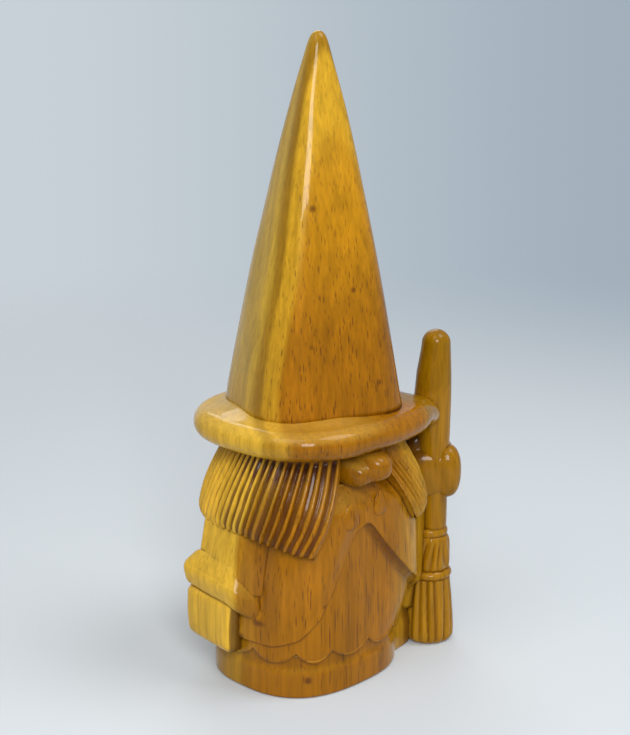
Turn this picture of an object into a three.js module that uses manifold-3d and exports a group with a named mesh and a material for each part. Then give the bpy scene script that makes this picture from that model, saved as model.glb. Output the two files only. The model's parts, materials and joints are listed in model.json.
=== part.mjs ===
// A carved gnome in varnished wood: a tall pointed hat over long hair, a cloak over a scalloped tunic,
// one arm hanging at the side and the other holding a broom. Millimetres, +Z up.
// The figure faces -Y, its right arm is on -X and its broom on +X. The origin is the middle of the underside.
import * as THREE from 'three';
import { mergeVertices } from 'three/addons/utils/BufferGeometryUtils.js';
import Module from 'manifold-3d';

const wasm = await Module();
wasm.setup();

// Fits: every piece keeps this glue line to the pieces that it is seated on.
const SEAT_GAP = 0.3;

// Plan of the block: a rounded square, from 2 for an ellipse up to 5 for a box.
const BODY_SQUARENESS = 2.6;
const HAT_SQUARENESS = 2.8;
// The left front corner, over the arm that holds the broom, is squarer above the hem.
const ARM_CORNER_SQUARENESS = 4.5;
const ARM_CORNER_RISE = 19;
const HAIR_CORNER_SQUARENESS = 3;

// Base block under the feet.
const BASE_WIDTH = 56.4;
const BASE_DEPTH = 50.6;
const BASE_HEIGHT = 14;
const BASE_EDGE = 0.8;

// Tunic: a solid core whose scalloped hem laps over the base block.
const TUNIC_HEIGHT = 46;
const SHOULDER_WIDTH = 44;
const SHOULDER_DEPTH = 48;
const HEM_OVERHANG = 0.9;
const HEM_LAP = 2.6;
const SCALLOPS = 11;
const SCALLOP_DEPTH = 1.8;

// Cloak: a shell over the tunic, open in front below the throat.
const CLOAK_THICKNESS = 2;
const CLOAK_HEM_RISE = 4;
const COLLAR_RISE = 5;
const COLLAR_TAPER = 3;
const OPENING_OFFSET = 0;
const OPENING_HEIGHT = 37.7;
const OPENING_LEFT_REACH = 21;
const OPENING_LEFT_DROP = 22.3;
const OPENING_RIGHT_BOW = 1;

// Cloak ties: two drops that hang at the throat.
const TIE_SPACING = 12.6;
const TIE_WIDTH = 4.4;
const TIE_LENGTH = 7.6;
const TIE_STAND = 0.9;
const TIE_DROP = 7.4;

// Head, mostly hidden by the hat and the hair. The face sits a little to the left of the middle.
const FACE_OFFSET = 1.2;
const HEAD_WIDTH = 40;
const HEAD_DEPTH = 43;
const HEAD_HEIGHT = 17.2;

// Nose under the brim: a bulb with a wing at each side.
const NOSE_WIDTH = 10.4;
const NOSE_HEIGHT = 9.6;
const NOSE_REACH = 12.2;
const NOSE_DROP = 5;
const WING_SIZE = 4.6;
const WING_REACH = 8;
const WING_HEIGHT = 8;
const WING_DROP = 1.4;

// Hair: a curtain that flares out over the shoulders and parts in front of the face.
const HAIR_TOP_WIDTH = 49;
const HAIR_TOP_DEPTH = 46;
const HAIR_SIDE_STAND = 2.6;
const HAIR_WIDEST_DEPTH = 62;
const HAIR_SHIFT = 1.3;
const HAIR_LENGTH = 25.4;
const HAIR_RIGHT_TIP = 8.4;
const HAIR_LEFT_TIP = 0.8;
const HAIR_ROUND = 3.6;
const PARTING_DROP = 7;
const PARTING_RIGHT_FLARE = 0.5;
const PARTING_LEFT_FLARE = 0.4;
// Share of the flare that the hair has gained at even steps from the brim down to its widest level.
const HAIR_SWELL = [0, 0.35, 0.72, 0.94, 1];

// Strands of the hair: carved ribs that crowd towards the parting and fan out from it on the way down.
const STRANDS = 66;
const STRAND_DEPTH = 1.3;
const STRAND_CROWDING = 1.3;
const STRAND_FAN_TURN = 13;
const STRAND_FAN_START_TURN = 20;

// Hat: a rolled brim and a tall pointed crown.
const BRIM_WIDTH = 72;
const BRIM_DEPTH = 65;
const BRIM_THICKNESS = 10.6;
const BRIM_TOP_SLOPE = 1.4;
const BRIM_DROOP = 5;
const BRIM_DROOP_BEND = 1.5;
const BRIM_ROLL_TURN = 75;
const BRIM_UNDERCUT = 1.6;
const HAT_FORWARD = 2;
const HAT_SIDEWAYS = 1.5;
const CROWN_WIDTH = 51.5;
const CROWN_DEPTH = 48.5;
const CROWN_HEIGHT = 111.3;
const CROWN_FULLNESS = 0.77;
const CROWN_LEAN = 1.1;

// Right arm, hanging at the side: a sleeve, a turned-back cuff and a hand below it.
// Degrees by which the fronts of the sleeve and the cuff run forwards to the body, and the cuff down to it.
const SLEEVE_FRONT_TURN = 45;
const CUFF_FRONT_TURN = 33;
const CUFF_TURN = 31;
const SLEEVE_STAND = 4.4;
const SLEEVE_FRONT = 4.4;
const SLEEVE_BACK = 14;
const SLEEVE_CORNER = 1;
const CUFF_STAND = 7;
const CUFF_HEIGHT = 9;
const CUFF_FRONT_LAP = 1.4;
const CUFF_BACK_LAP = 7;
const CUFF_HEM_ABOVE_BASE = 16.7;
const CUFF_CORNER = 2;
const HAND_STAND = 4;
const HAND_ABOVE_FLOOR = 13;
const HAND_FRONT = 3;
const HAND_BACK = 21;
const HAND_CORNER = 3;

// Broom, standing at the left front corner.
const BROOM_STANDOFF = 13.8;
const BROOM_FORWARD = 16.6;
const BRISTLE_HEIGHT = 22;
const BRISTLE_FOOT_WIDTH = 16.6;
const BRISTLE_NECK_WIDTH = 12.6;
const BRISTLE_WAIST_WIDTH = 16.4;
const BRISTLE_EDGE_INSET = 1.8;
const BRISTLE_EDGE_RISE = 2.4;
const BAND_HEIGHT = 2.6;
const BAND_STAND = 0.5;
const BROOM_HEAD_HEIGHT = 11.4;
const BROOM_HEAD_WIDTH = 11.4;
const BROOM_HEAD_EASE = 0.5;
const RING_EASE_SHARE = 0.3;
const COLLAR_BEAD_HEIGHT = 2.2;
const COLLAR_BEAD_STAND = 0.3;
const STICK_WIDTH = 7.8;
const STICK_SWELL = 2.8;
const STICK_LENGTH = 66;
const STICK_SQUARENESS = 2.3;
// Shares of the swell at shares of the length, from the collar up.
const STICK_BODY = [[0, 0], [0.2, 0.3], [0.8, 0.6], [1, 0.8]];
// Rounded end of the stick: where it starts, then radius and depth below the top, in half widths.
const STICK_END_SWELL = 0.35;
const STICK_END_DEPTH = 1.2;
const STICK_END = [[0.92, 0.5], [0.6, 0.1], [0, 0]];
const STICK_SPIGOT = 8;
const SPIGOT_WIDTH = 5;

// Left arm: a hanging sleeve behind the broom, a cuff and the fist that holds the stick.
const FIST_ABOVE_BASE = 44.5;
const FIST_HEIGHT = 17.5;
const FIST_WIDTH = 15.4;
const FIST_OFFSET = 1.2;
const FIST_SQUARENESS = 2.6;
const LEFT_SLEEVE_WIDTH = 19;
const LEFT_SLEEVE_DEPTH = 17;
const LEFT_SLEEVE_BACKSET = 11.5;
const LEFT_SLEEVE_STANDOFF = 3.8;
const LEFT_SLEEVE_SQUARENESS = 3;
const LEFT_SLEEVE_HEM_ABOVE_BASE = 9;
const LEFT_CUFF_WIDTH = 11;
const LEFT_CUFF_LENGTH = 10;
const LEFT_CUFF_STANDOFF = 4.75;

// Wood colours, from the pale outer wood to the amber middle of the block.
const PALE_WOOD = 0xc79a35;
const AMBER_WOOD = 0xb9761f;
const STAINED_WOOD = 0x9a5f1c;
const VARNISH_ROUGHNESS = 0.3;

// Mesh fineness, in sides of a whole turn, steps along a side and shares of the crown.
const BODY_SIDES = 44;
const SCALLOP_STEPS = 6;
const SMALL_SIDES = 20;
const WING_SIDES = 16;
const TIE_SIDES = 14;
const SLEEVE_SIDES = 24;
const BODY_STEPS = 6;
const OPENING_STEPS = 5;
const BRIM_ROLL_STEPS = 6;
const CROWN_LEVELS = [0, 0.08, 0.2, 0.34, 0.48, 0.62, 0.74, 0.84, 0.91, 0.955, 0.98, 0.994, 1];
const CROWN_TIP_SHARE = 0.002;
// Corners closer than this are one corner, and cutting slabs reach this far.
const WELD = 1e-4;
const FIGURE_REACH = 200;

// Heights that follow from the sizes above.
const tunicTop = BASE_HEIGHT + TUNIC_HEIGHT;
const hemHeight = BASE_HEIGHT - HEM_LAP;
const cloakHem = hemHeight + CLOAK_HEM_RISE;
const collarTop = tunicTop + COLLAR_RISE;
const headBottom = tunicTop + SEAT_GAP;
const headTop = headBottom + HEAD_HEIGHT;
const brimBottom = headTop + SEAT_GAP;
const brimTop = brimBottom + BRIM_THICKNESS;
const crownBottom = brimTop + SEAT_GAP;
const hairTop = headTop;
const hairHem = hairTop - HAIR_LENGTH;
const cuffBottom = BASE_HEIGHT + CUFF_HEM_ABOVE_BASE;
const cuffTop = cuffBottom + CUFF_HEIGHT;
const broomX = BASE_WIDTH / 2 + BROOM_STANDOFF;
const broomY = -BROOM_FORWARD;
const hatX = HAT_SIDEWAYS;
const hatY = -HAT_FORWARD;

// Solid modelling: closed geometries become solids that can be joined and cut, and come back as geometries.
function solidOf(geometry) {
  const bare = geometry.index ? geometry.toNonIndexed() : geometry.clone();
  for (const name of Object.keys(bare.attributes)) {
    if (name !== 'position') bare.deleteAttribute(name);
  }
  const merged = mergeVertices(bare, WELD);
  return new wasm.Manifold(new wasm.Mesh({
    numProp: 3,
    vertProperties: new Float32Array(merged.attributes.position.array),
    triVerts: new Uint32Array(merged.index.array),
  }));
}

function geometryOf(solid) {
  const mesh = solid.getMesh();
  const geometry = new THREE.BufferGeometry();
  geometry.setAttribute('position', new THREE.BufferAttribute(mesh.vertProperties, mesh.numProp));
  geometry.setIndex(new THREE.BufferAttribute(mesh.triVerts, 1));
  return geometry;
}

function cutAway(solid, ...tools) {
  return tools.reduce((rest, tool) => rest.subtract(tool), solid);
}

// Moves each vertex of a geometry to where place(x, y, z) puts it.
function reshape(geometry, place) {
  const position = geometry.attributes.position;
  for (let i = 0; i < position.count; i += 1) {
    const moved = place(position.getX(i), position.getY(i), position.getZ(i));
    position.setXYZ(i, ...moved);
  }
  return geometry;
}

// Distance from the middle to the edge of a rounded rectangle with half sizes a and b, along an angle.
function edgeRadius(angle, a, b, squareness) {
  const across = Math.abs(Math.cos(angle) / a) ** squareness;
  const along = Math.abs(Math.sin(angle) / b) ** squareness;
  return (across + along) ** (-1 / squareness);
}

// A closed solid through level sections { z, a, b }, from the lowest up, where left is the half width on +X
// and corner the squareness of the left front corner. turnOf(angle, z) moves a point round, sinkOf(angle) in,
// riseOf(x, y) up, and footOf(angle) raises the lowest section.
function loft(levels, {
  sides = BODY_SIDES, squareness = BODY_SQUARENESS, footOf = () => 0, riseOf = () => 0,
  turnOf = (angle) => angle, sinkOf = () => 0,
} = {}) {
  const rows = levels.length - 1;
  const drum = new THREE.CylinderGeometry(1, 1, rows, sides, rows).rotateX(Math.PI / 2);
  return solidOf(reshape(drum, (x, y, z) => {
    const row = Math.round(z + rows / 2);
    const level = levels[row];
    const from = Math.atan2(y, x);
    const angle = turnOf(from, level.z);
    const leftward = Math.cos(angle) > 0;
    const wide = leftward ? level.left ?? level.a : level.a;
    const square = leftward && Math.sin(angle) < 0 ? level.corner ?? squareness : squareness;
    const reach = Math.hypot(x, y) * (edgeRadius(angle, wide, level.b, square) - sinkOf(from));
    const raised = row === 0 && reach > 0 ? footOf(angle) : 0;
    const placed = [(level.x ?? 0) + reach * Math.cos(angle), (level.y ?? 0) + reach * Math.sin(angle)];
    return [...placed, level.z + raised + riseOf(...placed)];
  }));
}

// A solid turned about an upright axis at (x, y), from a profile of [radius, height] points.
function turned(profile, x, y, { sides = SMALL_SIDES, squareness = 2 } = {}) {
  const points = profile.map(([radius, height]) => new THREE.Vector2(radius, height));
  const lathe = new THREE.LatheGeometry(points, sides).rotateX(Math.PI / 2);
  return solidOf(reshape(lathe, (px, py, pz) => {
    const angle = Math.atan2(py, px);
    const reach = Math.hypot(px, py) * edgeRadius(angle, 1, 1, squareness);
    return [x + reach * Math.cos(angle), y + reach * Math.sin(angle), pz];
  }));
}

// A rounded block with half sizes, centred on a point: a ball when its squareness is 2.
function pebble(centre, half, { sides = SMALL_SIDES, squareness = 2 } = {}) {
  const ball = new THREE.SphereGeometry(1, sides, sides / 2).rotateX(Math.PI / 2);
  return solidOf(reshape(ball, (x, y, z) => {
    const swell = (Math.abs(x) ** squareness + Math.abs(y) ** squareness + Math.abs(z) ** squareness)
      ** (-1 / squareness);
    const unit = [x, y, z].map((value) => value * swell);
    return unit.map((value, axis) => centre[axis] + value * half[axis]);
  }));
}

// A prism through the whole figure from an outline: drawn in X and Y it runs up, drawn in X and Z it runs to
// the front, and drawn in forward and Z it runs to the figure's right.
function prism(points, facing) {
  const outline = new THREE.Shape(points.map(([across, up]) => new THREE.Vector2(across, up)));
  const slab = new THREE.ExtrudeGeometry(outline, { depth: FIGURE_REACH, bevelEnabled: false });
  if (facing !== 'up') slab.rotateX(Math.PI / 2);
  if (facing === 'right') slab.rotateZ(-Math.PI / 2);
  return solidOf(slab);
}

function mix(from, to, share) {
  return from + (to - from) * share;
}

// Body plan: half sizes of the tunic at a height, widest at the hem and narrowing to the shoulders, except
// on the left, where the arm keeps it wide.
function tunicHalf(z) {
  const share = Math.min(Math.max((z - hemHeight) / (tunicTop - hemHeight), 0), 1) ** 2;
  const hem = BASE_WIDTH / 2 + HEM_OVERHANG;
  const squared = THREE.MathUtils.smoothstep(z - hemHeight, 0, ARM_CORNER_RISE);
  return {
    a: mix(hem, SHOULDER_WIDTH / 2, share),
    b: mix(BASE_DEPTH / 2 + HEM_OVERHANG, SHOULDER_DEPTH / 2, share),
    left: hem,
    corner: mix(BODY_SQUARENESS, ARM_CORNER_SQUARENESS, squared),
  };
}

function spaced(from, to, count) {
  return Array.from({ length: count + 1 }, (_, i) => mix(from, to, i / count));
}

// The same half sizes grown outwards all round.
function grown(half, by) {
  return { ...half, a: half.a + by, b: half.b + by, left: (half.left ?? half.a) + by };
}

// Base block, with a small eased edge at the foot.
function baseSolid(grow) {
  const half = grown({ a: BASE_WIDTH / 2, b: BASE_DEPTH / 2 }, grow);
  return loft([
    { z: -grow, ...grown(half, -BASE_EDGE) },
    { z: BASE_EDGE - grow, ...half },
    { z: BASE_HEIGHT + grow, ...half },
  ]);
}

// Tunic, with scallops that hang in lobes between pointed notches.
function tunicSolid(grow) {
  const levels = spaced(hemHeight, tunicTop, BODY_STEPS).map((z) => ({ z, ...grown(tunicHalf(z), grow) }));
  levels[0].z -= grow;
  levels[levels.length - 1].z += grow;
  const notch = (angle) => SCALLOP_DEPTH * (1 - Math.abs(Math.sin((angle * SCALLOPS) / 2)));
  return loft(levels, { sides: SCALLOPS * SCALLOP_STEPS, footOf: notch });
}

// Outside of the cloak, closed over the shoulders up to the collar.
function cloakSolid(grow) {
  const cover = SEAT_GAP + CLOAK_THICKNESS + grow;
  const levels = spaced(cloakHem, tunicTop, BODY_STEPS).map((z) => ({ z, ...grown(tunicHalf(z), cover) }));
  levels[0].z -= grow;
  levels.push({ z: collarTop + grow, ...grown(tunicHalf(tunicTop), cover - COLLAR_TAPER) });
  return loft(levels);
}

// Opening of the cloak: straight down to the left front corner, bowed down to the hem on the right.
function cloakOpening() {
  const apex = [OPENING_OFFSET, cloakHem + OPENING_HEIGHT];
  const left = [apex[0] + OPENING_LEFT_REACH, apex[1] - OPENING_LEFT_DROP];
  const reach = BASE_WIDTH / 2 + HEM_OVERHANG;
  const corner = [-reach, cloakHem];
  const bow = spaced(0, 1, OPENING_STEPS).map((share) => {
    const dip = OPENING_RIGHT_BOW * Math.sin(Math.PI * share);
    return [mix(corner[0], apex[0], share) + dip, mix(corner[1], apex[1], share) - dip];
  });
  const below = -FIGURE_REACH / 2;
  return prism([
    ...bow, left, [FIGURE_REACH / 2, left[1] - OPENING_LEFT_DROP], [FIGURE_REACH / 2, below],
    [corner[0] - FIGURE_REACH / 2, below], [corner[0] - FIGURE_REACH / 2, cloakHem],
  ], 'front');
}

function headSolid(grow) {
  const half = grown({ a: HEAD_WIDTH / 2, b: HEAD_DEPTH / 2 }, grow);
  return loft([{ z: headBottom - grow, ...half }, { z: headTop + grow, ...half }]);
}

// Where the strand that starts at an angle runs at a height.
function strandTurn(angle, z) {
  const front = -Math.PI / 2;
  const turn = Math.atan2(Math.sin(angle - front), Math.cos(angle - front));
  const crowded = Math.PI * (Math.abs(turn) / Math.PI) ** STRAND_CROWDING;
  const start = THREE.MathUtils.smoothstep(crowded, 0, THREE.MathUtils.degToRad(STRAND_FAN_START_TURN));
  const most = THREE.MathUtils.degToRad(STRAND_FAN_TURN) * start * (1 - crowded / Math.PI);
  return front + Math.sign(turn) * (crowded + (most * (hairTop - z)) / HAIR_LENGTH);
}

// Hair: narrow under the brim, widest near the bottom and rounded in below that, longest at the right front.
function hairSolid(grow, carving = {}) {
  const top = grown({ a: HAIR_TOP_WIDTH / 2, b: HAIR_TOP_DEPTH / 2 }, grow);
  const side = tunicHalf(hairHem).left + SEAT_GAP + CLOAK_THICKNESS + HAIR_SIDE_STAND;
  const wide = grown({ a: side, b: HAIR_WIDEST_DEPTH / 2 }, grow);
  const widest = hairHem + HAIR_ROUND;
  const upper = HAIR_SWELL.map((share, i) => {
    const level = mix(hairTop + grow, widest, i / (HAIR_SWELL.length - 1));
    return { z: level, a: mix(top.a, wide.a, share), b: mix(top.b, wide.b, share) };
  });
  const foot = { z: hairHem - grow, ...grown(wide, -HAIR_ROUND / 2) };
  const tip = (angle) => {
    const leftward = THREE.MathUtils.smoothstep(Math.cos(angle), 0, Math.SQRT1_2);
    const length = mix(HAIR_RIGHT_TIP, HAIR_LEFT_TIP, leftward);
    return -length * Math.max(0, -Math.sin(angle)) ** 2;
  };
  const levels = [foot, ...upper.reverse()].map((level) => (
    { ...level, corner: HAIR_CORNER_SQUARENESS, x: HAIR_SHIFT, y: -HAIR_SHIFT }));
  return loft(levels, { footOf: tip, ...carving });
}

function carvedHair() {
  const groove = (angle) => (STRAND_DEPTH * (1 - Math.cos(angle * STRANDS))) / 2;
  return hairSolid(0, { sides: STRANDS * 2, turnOf: strandTurn, sinkOf: groove });
}

// Parting of the hair in front of the face, wider towards the shoulders: from the brim down on the right, and
// from beside the nose down on the left.
function hairParting() {
  const low = hairHem - HAIR_RIGHT_TIP * 2;
  const knee = hairTop - PARTING_DROP;
  const high = hairTop + BRIM_THICKNESS;
  const narrow = (NOSE_WIDTH + WING_SIZE) / 2 + SEAT_GAP * 2;
  const left = narrow + PARTING_LEFT_FLARE * (knee - low);
  const right = narrow + PARTING_RIGHT_FLARE * (hairTop - low);
  return prism([
    [left, low], [narrow, knee], [narrow, high], [-narrow, high], [-narrow, hairTop], [-right, low],
  ], 'front').translate([FACE_OFFSET, 0, 0]);
}

// Brim: a thick disc with a rolled edge; its top falls a little from the crown to the roll, and its edge
// droops towards the broom.
function brimSolid(grow) {
  const crownEdge = hatX + CROWN_WIDTH / 2;
  const brimEdge = hatX + BRIM_WIDTH / 2;
  const droop = (x) => -BRIM_DROOP * Math.max(0, (x - crownEdge) / (brimEdge - crownEdge)) ** BRIM_DROOP_BEND;
  const half = grown({ a: BRIM_WIDTH / 2, b: BRIM_DEPTH / 2 }, grow);
  const roll = (BRIM_THICKNESS - BRIM_TOP_SLOPE) / 2;
  const middle = brimBottom + roll;
  const edge = spaced(-BRIM_ROLL_TURN, BRIM_ROLL_TURN, BRIM_ROLL_STEPS).map((degrees) => {
    const turn = THREE.MathUtils.degToRad(degrees);
    return { z: middle + roll * Math.sin(turn), inset: roll * (1 - Math.cos(turn)) };
  });
  const inner = (BRIM_WIDTH - CROWN_WIDTH) / 2;
  const under = { z: brimBottom - grow, inset: roll * BRIM_UNDERCUT };
  const core = { z: brimBottom - grow, inset: inner };
  const seat = { z: brimTop + grow, inset: inner - SEAT_GAP };
  const levels = [core, under, ...edge, seat].map(({ z, inset }) => (
    { z, x: hatX, y: hatY, ...grown(half, -inset) }));
  return loft(levels, { riseOf: droop });
}

// Crown: tapers faster towards the tip and leans a little forwards.
function crownSolid() {
  return loft(CROWN_LEVELS.map((share) => {
    const taper = (1 + CROWN_TIP_SHARE - share) ** CROWN_FULLNESS;
    const lean = CROWN_LEAN * share;
    return {
      z: crownBottom + CROWN_HEIGHT * share, x: hatX + lean, y: hatY - lean,
      a: (CROWN_WIDTH / 2) * taper, b: (CROWN_DEPTH / 2) * taper,
    };
  }), { squareness: HAT_SQUARENESS });
}

// Nose on the front of the head.
function noseSolid() {
  const front = -HEAD_DEPTH / 2;
  const height = headTop - NOSE_DROP;
  const bulb = pebble([FACE_OFFSET, front, height], [NOSE_WIDTH / 2, NOSE_REACH, NOSE_HEIGHT / 2]);
  const wings = [-1, 1].map((side) => pebble(
    [FACE_OFFSET + (side * NOSE_WIDTH) / 2, front, height - WING_DROP],
    [WING_SIZE / 2, WING_REACH, WING_HEIGHT / 2], { sides: WING_SIDES }));
  return cutAway(bulb.add(wings[0]).add(wings[1]), headSolid(SEAT_GAP));
}

// A drop that lies on the front of the cloak.
function tieSolid(side) {
  const height = collarTop - TIE_DROP;
  const across = (side * TIE_SPACING) / 2;
  const half = grown(tunicHalf(height), SEAT_GAP + CLOAK_THICKNESS);
  const [wide, square] = side > 0 ? [half.left, half.corner] : [half.a, BODY_SQUARENESS];
  const front = -half.b * (1 - Math.abs(across / wide) ** square) ** (1 / square);
  const drop = pebble([across, front, height], [TIE_WIDTH / 2, TIE_STAND + SEAT_GAP, TIE_LENGTH / 2],
    { sides: TIE_SIDES });
  return cutAway(drop, cloakSolid(SEAT_GAP));
}

// A slab on the right side of the body that stands out from the cloak and spans two forward positions. Its
// front turns forwards by some degrees from its outer corner to the body.
function sideSlab({ front, back, bottom, top, corner, stand, turn = 0 }) {
  const slope = Math.tan(THREE.MathUtils.degToRad(turn));
  const cover = SEAT_GAP + CLOAK_THICKNESS + stand;
  const levels = spaced(0, collarTop, BODY_STEPS).map((z) => ({ z, ...grown(tunicHalf(z), cover) }));
  const cornerX = -tunicHalf((bottom + top) / 2).a - cover;
  const far = FIGURE_REACH / 2;
  const ahead = prism([
    [cornerX - far, -front + slope * far], [cornerX - far, -FIGURE_REACH],
    [cornerX + far, -FIGURE_REACH], [cornerX + far, -front - slope * far],
  ], 'up');
  const outline = panel(front + slope * cover, back, bottom, top, corner);
  return prism(outline, 'right').intersect(loft(levels)).subtract(ahead);
}

// An upright panel between two forward positions with its corners cut off.
function panel(front, back, bottom, top, corner) {
  return [[-back + corner, bottom], [front - corner, bottom], [front, bottom + corner], [front, top - corner],
    [front - corner, top], [-back + corner, top], [-back, top - corner], [-back, bottom + corner]];
}

const bodyGrown = cloakSolid(SEAT_GAP).add(tunicSolid(SEAT_GAP)).add(baseSolid(SEAT_GAP));
const hairClear = hairSolid(SEAT_GAP);

const cuffMiddle = (cuffBottom + cuffTop) / 2;

function rightSleeve() {
  const slab = sideSlab({
    front: SLEEVE_FRONT, back: SLEEVE_BACK, bottom: cuffMiddle, top: hairHem + HAIR_ROUND,
    corner: SLEEVE_CORNER, stand: SLEEVE_STAND, turn: SLEEVE_FRONT_TURN,
  });
  return cutAway(slab, cuffSolid(SEAT_GAP), bodyGrown, hairClear);
}

// The turned-back cuff, lower where it meets the body.
function cuffSolid(grow) {
  const slab = sideSlab({
    front: SLEEVE_FRONT + CUFF_FRONT_LAP + grow, back: SLEEVE_BACK + CUFF_BACK_LAP + grow,
    bottom: cuffBottom - grow, top: cuffTop + grow, corner: CUFF_CORNER, stand: CUFF_STAND + grow,
    turn: CUFF_FRONT_TURN,
  });
  const fall = Math.tan(THREE.MathUtils.degToRad(CUFF_TURN));
  const outside = tunicHalf(cuffMiddle).a + SEAT_GAP + CLOAK_THICKNESS + CUFF_STAND;
  return slab.warp((corner) => {
    corner[2] -= fall * (corner[0] + outside);
  });
}

function rightHand() {
  const slab = sideSlab({
    front: HAND_FRONT, back: HAND_BACK, bottom: HAND_ABOVE_FLOOR, top: cuffBottom, corner: HAND_CORNER,
    stand: HAND_STAND,
  });
  return cutAway(slab, cuffSolid(SEAT_GAP), bodyGrown);
}

// Broom: a stick with a spigot that runs down through the collar, the head and the band into the bristles.
const bandBottom = BRISTLE_HEIGHT + SEAT_GAP;
const broomHeadBottom = bandBottom + BAND_HEIGHT + SEAT_GAP;
const collarBottom = broomHeadBottom + BROOM_HEAD_HEIGHT + SEAT_GAP;
const stickBottom = collarBottom + COLLAR_BEAD_HEIGHT + SEAT_GAP;
const boreRadius = SPIGOT_WIDTH / 2 + SEAT_GAP;

function bristles() {
  const foot = BRISTLE_FOOT_WIDTH / 2;
  const floor = BRISTLE_HEIGHT - STICK_SPIGOT - SEAT_GAP;
  return turned([
    [0, 0], [foot - BRISTLE_EDGE_INSET, 0], [foot, BRISTLE_EDGE_RISE],
    [BRISTLE_WAIST_WIDTH / 2, BRISTLE_HEIGHT / 2], [BRISTLE_NECK_WIDTH / 2, BRISTLE_HEIGHT],
    [boreRadius, BRISTLE_HEIGHT], [boreRadius, floor], [0, floor],
  ], broomX, broomY);
}

// A ring around the spigot with an eased outside.
function ring(bottom, height, lowRadius, highRadius, ease) {
  return turned([
    [boreRadius, bottom], [lowRadius - ease, bottom], [lowRadius, bottom + ease],
    [highRadius, bottom + height - ease], [highRadius - ease, bottom + height],
    [boreRadius, bottom + height], [boreRadius, bottom],
  ], broomX, broomY);
}

function broomBand() {
  const radius = BRISTLE_NECK_WIDTH / 2 + BAND_STAND;
  return ring(bandBottom, BAND_HEIGHT, radius, radius, BAND_HEIGHT * RING_EASE_SHARE);
}

function broomHead() {
  return ring(broomHeadBottom, BROOM_HEAD_HEIGHT, BRISTLE_NECK_WIDTH / 2, BROOM_HEAD_WIDTH / 2,
    BROOM_HEAD_EASE);
}

function broomCollar() {
  const radius = BROOM_HEAD_WIDTH / 2 + COLLAR_BEAD_STAND;
  return ring(collarBottom, COLLAR_BEAD_HEIGHT, radius, radius, COLLAR_BEAD_HEIGHT * RING_EASE_SHARE);
}

function stickSolid(grow) {
  const spigot = SPIGOT_WIDTH / 2 + grow;
  const low = STICK_WIDTH / 2 + grow;
  const high = low + STICK_SWELL / 2;
  const bottom = stickBottom - grow;
  const top = stickBottom + STICK_LENGTH + grow;
  return turned([
    [0, BRISTLE_HEIGHT - STICK_SPIGOT - grow], [spigot, BRISTLE_HEIGHT - STICK_SPIGOT - grow],
    [spigot, bottom],
    ...STICK_BODY.map(([swell, share]) => [mix(low, high, swell), mix(bottom, top, share)]),
    [mix(low, high, STICK_END_SWELL), top - low * STICK_END_DEPTH],
    ...STICK_END.map(([reach, depth]) => [low * reach, top - low * depth]),
  ], broomX, broomY, { squareness: STICK_SQUARENESS });
}

// The whole broom with a clearance round it, for the pieces that reach it.
function broomGrown() {
  const stack = [
    [0, -SEAT_GAP], [BRISTLE_FOOT_WIDTH / 2 + SEAT_GAP, -SEAT_GAP],
    [BRISTLE_FOOT_WIDTH / 2 + SEAT_GAP, BRISTLE_HEIGHT / 2],
    [BRISTLE_NECK_WIDTH / 2 + BAND_STAND + SEAT_GAP, bandBottom],
    [BRISTLE_NECK_WIDTH / 2 + BAND_STAND + SEAT_GAP, broomHeadBottom],
    [BROOM_HEAD_WIDTH / 2 + COLLAR_BEAD_STAND + SEAT_GAP * 2, stickBottom], [0, stickBottom],
  ];
  return turned(stack, broomX, broomY).add(stickSolid(SEAT_GAP));
}

// Left arm.
const fistHeight = BASE_HEIGHT + FIST_ABOVE_BASE;
const fistCentre = [broomX + FIST_OFFSET, broomY - FIST_OFFSET, fistHeight];
const sleeveCentre = [BASE_WIDTH / 2 + LEFT_SLEEVE_STANDOFF, broomY + LEFT_SLEEVE_BACKSET];
const sleeveTop = hairHem + HAIR_ROUND;

function fistSolid(grow) {
  const half = [FIST_WIDTH / 2, FIST_WIDTH / 2, FIST_HEIGHT / 2].map((value) => value + grow);
  return pebble(fistCentre, half, { squareness: FIST_SQUARENESS });
}

function leftCuffSolid(grow) {
  const start = new THREE.Vector3(sleeveCentre[0] + LEFT_CUFF_STANDOFF, sleeveCentre[1],
    sleeveTop - LEFT_CUFF_WIDTH / 2);
  const end = new THREE.Vector3(...fistCentre);
  const along = end.clone().sub(start);
  const reach = along.length() - FIST_WIDTH / 2;
  const middle = start.clone().addScaledVector(along.clone().normalize(), reach);
  const length = LEFT_CUFF_LENGTH + grow * 2;
  const radius = LEFT_CUFF_WIDTH / 2 + grow;
  const drum = new THREE.CylinderGeometry(radius, radius, length, SMALL_SIDES);
  const turn = new THREE.Quaternion().setFromUnitVectors(new THREE.Vector3(0, 1, 0), along.normalize());
  drum.applyQuaternion(turn).translate(middle.x, middle.y, middle.z);
  return solidOf(drum);
}

function leftSleeve() {
  const half = { a: LEFT_SLEEVE_WIDTH / 2, b: LEFT_SLEEVE_DEPTH / 2 };
  const bottom = BASE_HEIGHT + LEFT_SLEEVE_HEM_ABOVE_BASE;
  return loft([bottom, sleeveTop].map((z) => ({ z, x: sleeveCentre[0], y: sleeveCentre[1], ...half })),
    { sides: SLEEVE_SIDES, squareness: LEFT_SLEEVE_SQUARENESS });
}

const stick = stickSolid(0);
const broomClear = broomGrown();
const hair = cutAway(carvedHair(), headSolid(SEAT_GAP), cloakSolid(SEAT_GAP), hairParting(), broomClear);
const brim = cutAway(brimSolid(0), broomClear);
const fist = cutAway(fistSolid(0), broomClear, hairClear, bodyGrown, brimSolid(SEAT_GAP));
const leftCuff = cutAway(leftCuffSolid(0), fistSolid(SEAT_GAP), broomClear, hairClear, bodyGrown);
const sleeve = cutAway(leftSleeve(), leftCuffSolid(SEAT_GAP), fistSolid(SEAT_GAP), broomClear, hairClear,
  bodyGrown);

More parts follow.
